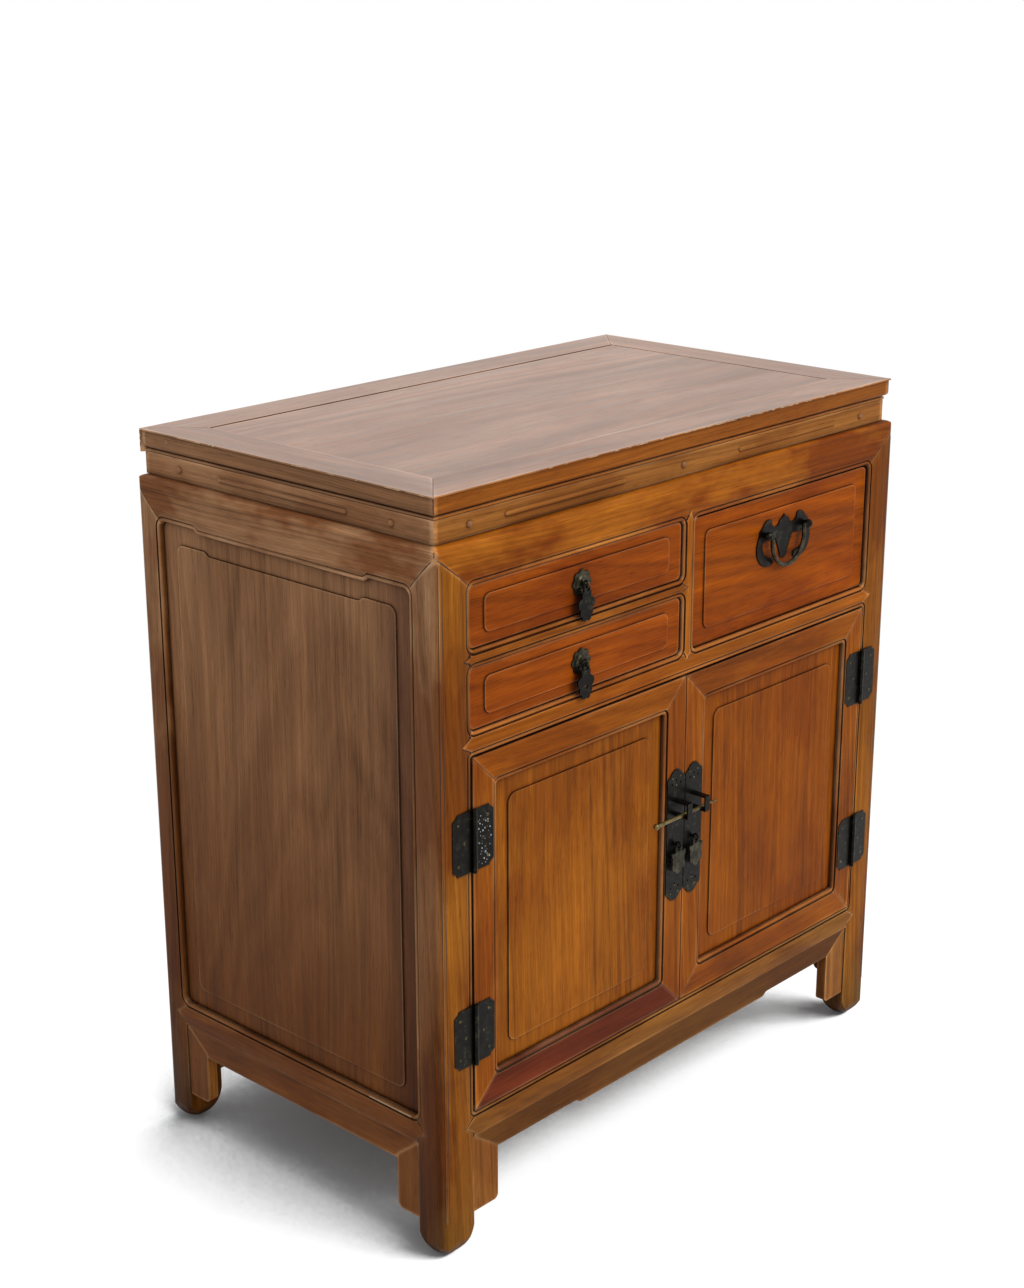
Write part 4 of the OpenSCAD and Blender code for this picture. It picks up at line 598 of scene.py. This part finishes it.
def door_lines(hand):
    """The four mitres of a door's frame."""
    low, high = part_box(f"door_{hand}_stiles")
    leaf = skin(f"door_{hand}_stiles", f"door_{hand}_rails")
    parts = []
    for x, way in ((low.x, 1), (high.x, -1)):
        for z, up in ((low.z, 1), (high.z, -1)):
            line = [Vector((x + way * d * MM, FRONT_Y * MM, z + up * d * MM)) for d in DOOR_MITRE]
            parts.append(ribbon(leaf, line, FRONT, FINE_LINE))
    return parts


def top_lines():
    """The four mitres of the top's frame, on its upper face and down its corners."""
    top = skin("top_frame_front", "top_frame_back", "top_frame_ends")
    low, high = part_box("top_frame_front")[0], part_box("top_frame_back")[1]
    parts = []
    for x, mx in ((low.x, 1), (high.x, -1)):
        for y, my in ((low.y, 1), (high.y, -1)):
            line = [Vector((x + mx * d * MM, y + my * d * MM, high.z)) for d in TOP_MITRE]
            parts.append(ribbon(top, line, DOWN, FINE_LINE))
            slant = Vector((mx, my, 0)).normalized()
            line = [Vector((x, y, z * MM)) for z in TOP_SEAM_Z]
            parts.append(ribbon(top, line, slant, FINE_LINE))
    return parts


class CABINET_OT_joint_lines(bpy.types.Operator):
    """Lay the dark lines of the mitres and pointed shoulders on the frame, the doors and the top"""
    bl_idname = "cabinet.joint_lines"
    bl_label = "Joint lines"

    def execute(self, context):
        dark = matte("closed_joint", linear(context.scene.cabinet_woods.seam))
        carcass = skin("posts_front", "posts_back", "top_rail_front", "top_rail_back", "top_rails_side",
                       "bottom_rail_front", "bottom_rail_back", "bottom_rails_side", "middle_rail",
                       "divider_rail", "mullion", "aprons_side", "apron_front", "leg_brackets")
        parts = front_lines(carcass) + side_lines(carcass)
        piece("frame_joint_lines", *joined(parts), dark, "carcass", "frame_wood")
        for hand in ("left", "right"):
            parts = door_lines(hand)
            piece(f"door_{hand}_joint_lines", *joined(parts), dark, f"door_{hand}", "frame_wood")
        piece("top_joint_lines", *joined(top_lines()), dark, "carcass", "top_wood")
        return {"FINISHED"}


def hinge_nails(metal, radius):
    """Three nails in each hinge leaf, a piece for each row of leaves."""
    for body, node, hands in (("carcass", "post_hinge_leaves", (-1, 1)),
                              ("door_left", "door_left_hinge_leaves", (-1,)),
                              ("door_right", "door_right_hinge_leaves", (1,))):
        leaves = skin(node)
        for hand in hands:
            # The leaf's middle lies half a leaf outside or inside the pin's axis
            way = hand if body == "carcass" else -hand
            middle = hand * PIN_X + way * HALF_LEAF
            parts = []
            for z in HINGE_Z:
                for dx, dz in HINGE_NAILS:
                    spot = Vector((middle + way * dx, LEAF_Y, z + dz)) * MM
                    hit, normal = laid(leaves, spot, FRONT, 0.02)
                    parts.append(stud(hit, normal, radius, 0.0006))
            name = node.replace("hinge_leaves", "left" if hand < 0 else "right")
            piece(name + "_hinge_nails", *joined(parts), metal, body, "dark_brass")


def plate_nails(metal, radius):
    """Six nails in each half of the lock plate."""
    for hand in ("left", "right"):
        node = f"door_{hand}_lock_plate"
        low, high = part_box(node)
        plate = skin(node)
        middle = (low.x + high.x) / 2
        parts = []
        for dx, z in PLATE_NAILS:
            spot = Vector((middle + dx * MM, low.y, low.z + z * MM))
            hit, normal = laid(plate, spot, FRONT, 0.02)
            parts.append(stud(hit, normal, radius, 0.0005))
        piece(f"door_{hand}_plate_nails", *joined(parts), metal, f"door_{hand}", "dark_brass")


def pegs(material, radius):
    """Peg heads in the waist's front and ends, and a plug in the top's left end."""
    waist = skin("waist_front", "waist_ends")
    parts = []
    for x in PEGS_X:
        hit, normal = laid(waist, Vector((x, FRONT_Y, PEG_Z)) * MM, FRONT)
        parts.append(stud(hit, normal, radius, PEG_RISE * MM))
    for m, inward in ((-1, LEFT), (1, RIGHT)):
        for y in PEGS_Y:
            hit, normal = laid(waist, Vector((m * EDGE_X, y, PEG_Z)) * MM, inward)
            parts.append(stud(hit, normal, radius, PEG_RISE * MM))
    piece("waist_pegs", *joined(parts), material, "carcass", "frame_wood")
    hit, normal = laid(skin("top_frame_ends"), Vector((-EDGE_X, PLUG_Y, PLUG_Z)) * MM, LEFT)
    piece("top_edge_plug", *stud(hit, normal, radius * 0.7, 0.0008), material, "carcass", "top_wood")


class CABINET_OT_nails(bpy.types.Operator):
    """Set the nails of the hinges and plates and the peg heads of the waist"""
    bl_idname = "cabinet.nails"
    bl_label = "Nails"

    def execute(self, context):
        brass = context.scene.cabinet_brass
        metal = patinated_brass("nail_brass", shade(linear(brass.plate), 1.5), linear(brass.rod), 0.35, 0.4)
        hinge_nails(metal, brass.nail_r)
        plate_nails(metal, brass.nail_r * 0.7)
        pegs(matte("peg_wood", linear(context.scene.cabinet_woods.peg), 0.45), brass.peg_r)
        return {"FINISHED"}


def blot(tree, centre, inward, reach_a, reach_b, axis, chance, lift=0.00006, sides=9):
    """Points and faces of a thin irregular patch laid on the skin."""
    across = axis.normalized()
    up = inward.cross(across)
    rim = []
    for i in range(sides):
        turn = 2 * math.pi * i / sides
        rough = chance.uniform(0.65, 1.15)
        rim.append(centre + across * math.cos(turn) * reach_a * rough + up * math.sin(turn) * reach_b * rough)
    spots = [laid(tree, point, inward, 0.03) for point in rim]
    points = [p + n * lift for p, n in spots] + [p - n * 0.0003 for p, n in spots]
    faces = [tuple(range(sides)), tuple(reversed(range(sides, 2 * sides)))]
    faces += [(i, sides + i, sides + (i + 1) % sides, (i + 1) % sides) for i in range(sides)]
    return points, faces


def edge_chips(material, chance):
    """Chips along the rim of the top's front and ends."""
    low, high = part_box("top_frame_front")[0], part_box("top_frame_back")[1]
    parts = []
    for node, along, count, start, end, most in (
            ("top_frame_front", Vector((1, 0, 0)), 40, -0.32, 0.37, 0.24),
            ("top_frame_ends", Vector((0, 1, 0)), 14, -0.20, 0.22, -0.16)):
        edge = skin(node)
        out = Vector((-along.y, -along.x, 0))
        inward = -(out + Vector((0, 0, 0.25))).normalized()
        rim = Vector((low.x * along.y, low.y * along.x, high.z - 0.0009))
        for _ in range(count):
            spot = rim + along * chance.triangular(start, end, most)
            parts.append(blot(edge, spot, inward, chance.uniform(0.001, 0.008),
                              chance.uniform(0.0004, 0.0009), along, chance))
    piece("top_edge_chips", *joined(parts), material, "carcass", "top_wood")


def worn_highlit_bead(material):
    """A stretch of the left side's lower bead that is rubbed bare, its pale line partly a painted highlight.
    """
    line = [side(-EDGE_X, y, Z_DOOR - 2.2) for y in WORN_BEAD_Y]
    bead = ribbon(skin("bottom_rails_side"), line, LEFT, 0.0016)
    piece("worn_highlit_bead", *bead, material, "carcass", "frame_wood")


def paint_specks(material, chance):
    """Specks of paint on the upper left hinge's leaf."""
    leaf = skin("door_left_hinge_leaves")
    parts = []
    for _ in range(46):
        x = -PIN_X + chance.triangular(5.0, 27.0, 16.0)
        z = HINGE_Z[1] + chance.uniform(-29.0, 30.0)
        size = chance.choice((0.35, 0.45, 0.6, 1.0)) * MM
        spot = Vector((x, LEAF_Y, z)) * MM
        parts.append(blot(leaf, spot, FRONT, size * 0.8, size, Vector((1, 0, 0)), chance, 0.0001, 7))
    piece("hinge_specks", *joined(parts), material, "door_left", "dark_brass")


class CABINET_OT_wear(bpy.types.Operator):
    """Chip the top's edges, wear the left bead with a painted highlight on it and speck the upper left hinge
    """
    bl_idname = "cabinet.wear"
    bl_label = "Wear"

    def execute(self, context):
        chance = random.Random(7)
        bare = linear(context.scene.cabinet_woods.chip)
        edge_chips(matte("chipped_edge", bare, 0.6), chance)
        worn_highlit_bead(matte("worn_highlit_bead", shade(bare, 0.6), 0.5))
        paint_specks(matte("paint_specks", linear(context.scene.cabinet_brass.speck), 0.5), chance)
        return {"FINISHED"}


# Stage


# Where the camera stands, in metres, and how far it is turned about each axis, in degrees
CAMERA_PLACE = (-1.7454, -1.5747, 1.3134)
CAMERA_TURN = (71.77, 0.111, -47.17)
WHITE = (1.0, 1.0, 1.0, 1.0)


def seen(s):
    """1 for rays that come straight from the camera, or by way of metal or glass."""
    path = s.add("LightPath").outputs
    either = s.math("MAXIMUM", path["Is Camera Ray"], path["Is Glossy Ray"])
    return s.math("MAXIMUM", either, path["Is Transmission Ray"])


def lay_floor():
    """A pale floor, seen directly as white but for the object's shadow close to it: a little of it is cast by
    the lamps on grey paper, most of it is a painted shadow, a glow dimmed where the floor is hidden towards
    the front right.
    """
    bpy.ops.mesh.primitive_plane_add(size=400.0)
    floor = bpy.context.object
    floor.name = "floor"
    s = Shader(bpy.data.materials.new("pale_floor_painted_shadow"))
    plain = s.add("BsdfDiffuse", {"Color": (0.55, 0.55, 0.56, 1.0)}).outputs[0]
    # Painted shadow: the glow is dimmed where the floor is hidden from the sky towards the front right
    lean = s.add("CombineXYZ", {0: 0.55, 1: -0.65, 2: 0.52}).outputs[0]
    painted_shadow_openness = s.add("AmbientOcclusion", {"Distance": 0.45, "Normal": lean}, samples=24).outputs["AO"]
    painted_shadow_glow = s.spread(painted_shadow_openness, 0.555, 0.63, 0.04, 0.90)
    paper = s.add("BsdfDiffuse", {"Color": (0.24, 0.24, 0.243, 1.0)}).outputs[0]
    painted_shadow_glow = s.add("Emission", {"Color": WHITE, "Strength": painted_shadow_glow}).outputs[0]
    near = s.add("AddShader", {0: paper, 1: painted_shadow_glow}).outputs[0]
    white = s.add("Emission", {"Color": WHITE, "Strength": 1.0}).outputs[0]
    away = s.vector("LENGTH", s.vector("MULTIPLY", s.add("TexCoord").outputs["Object"], (1.0, 1.4, 0.0)))
    shown = s.add("MixShader", {0: s.spread(away, 0.75, 1.3), 1: near, 2: white}).outputs[0]
    surface = s.add("MixShader", {0: seen(s), 1: plain, 2: shown}).outputs[0]
    s.add("OutputMaterial", {"Surface": surface})
    floor.data.materials.append(s.owner)


def fill_room(sky):
    """A world that gives soft light, more of it from above, and is seen directly as white."""
    room = Shader(bpy.data.worlds.new("white_room"))
    bpy.context.scene.world = room.owner
    rise = room.add("SeparateXYZ", {0: room.add("TexCoord").outputs["Generated"]}).outputs[2]
    strength = room.math("MULTIPLY", room.spread(rise, 0.0, 1.0, 0.42, 1.25), sky)
    soft = room.add("Background", {"Color": (0.96, 0.98, 1.0, 1.0), "Strength": strength}).outputs[0]
    white = room.add("Background", {"Color": WHITE, "Strength": 1.0}).outputs[0]
    mixed = room.add("MixShader", {0: seen(room), 1: soft, 2: white}).outputs[0]
    room.add("OutputWorld", {"Surface": mixed})


def hang_lamp(name, power, size, place, aim):
    """A large round lamp that shines from one place towards another."""
    lamp = bpy.data.lights.new(name, "AREA")
    lamp.energy = power
    lamp.shape = "DISK"
    lamp.size = size
    light = bpy.data.objects.new(name, lamp)
    bpy.context.scene.collection.objects.link(light)
    light.location = place
    light.rotation_euler = (Vector(place) - Vector(aim)).to_track_quat("Z", "Y").to_euler()
    return light


def set_camera(lens):
    """The camera at the photograph's viewing angle."""
    camera = bpy.data.cameras.new("camera")
    camera.lens = lens
    camera.sensor_width = 36.0
    camera.sensor_fit = "AUTO"
    view = bpy.data.objects.new("camera", camera)
    bpy.context.scene.collection.objects.link(view)
    view.location = CAMERA_PLACE
    view.rotation_euler = [math.radians(angle) for angle in CAMERA_TURN]
    bpy.context.scene.camera = view


class CABINET_OT_stage(bpy.types.Operator):
    """Set up the pale floor, the soft light and the camera"""
    bl_idname = "cabinet.stage"
    bl_label = "Stage"

    def execute(self, context):
        stage = context.scene.cabinet_stage
        context.scene.view_settings.view_transform = "Standard"
        lay_floor()
        fill_room(stage.sky)
        hang_lamp("key_light", stage.key, 1.8, (0.6, -2.4, 2.4), (0.0, 0.0, 0.4))
        back = hang_lamp("back_light", stage.key * 0.6, 1.6, (1.9, 2.4, 1.7), (0.0, 0.0, 0.6))
        back.visible_glossy = False
        set_camera(stage.lens)
        return {"FINISHED"}


# Panel and registration

PIECES = (CABINET_OT_woods, CABINET_OT_brass, CABINET_OT_joint_lines, CABINET_OT_nails, CABINET_OT_wear,
          CABINET_OT_stage)
GROUPS = {"cabinet_woods": CabinetWoods, "cabinet_brass": CabinetBrass, "cabinet_stage": CabinetStage}


class CABINET_PT_pieces(bpy.types.Panel):
    """Lists the pieces' sizes and colours, and the operators that make them"""
    bl_idname = "CABINET_PT_pieces"
    bl_label = "Side cabinet"
    bl_space_type = "VIEW_3D"
    bl_region_type = "UI"
    bl_category = "Side cabinet"

    def draw(self, context):
        for group, kind in GROUPS.items():
            box = self.layout.box()
            for prop in kind.__annotations__:
                box.prop(getattr(context.scene, group), prop)
        for operator in PIECES:
            self.layout.operator(operator.bl_idname)


def register():
    for group, kind in GROUPS.items():
        bpy.utils.register_class(kind)
        setattr(bpy.types.Scene, group, PointerProperty(type=kind))
    for kind in (*PIECES, CABINET_PT_pieces):
        bpy.utils.register_class(kind)


def unregister():
    for kind in (CABINET_PT_pieces, *reversed(PIECES)):
        bpy.utils.unregister_class(kind)
    for group, kind in GROUPS.items():
        delattr(bpy.types.Scene, group)
        bpy.utils.unregister_class(kind)


def main():
    register()
    for operator in PIECES:
        group, name = operator.bl_idname.split(".")
        getattr(getattr(bpy.ops, group), name)()


if __name__ == "__main__":
    main()
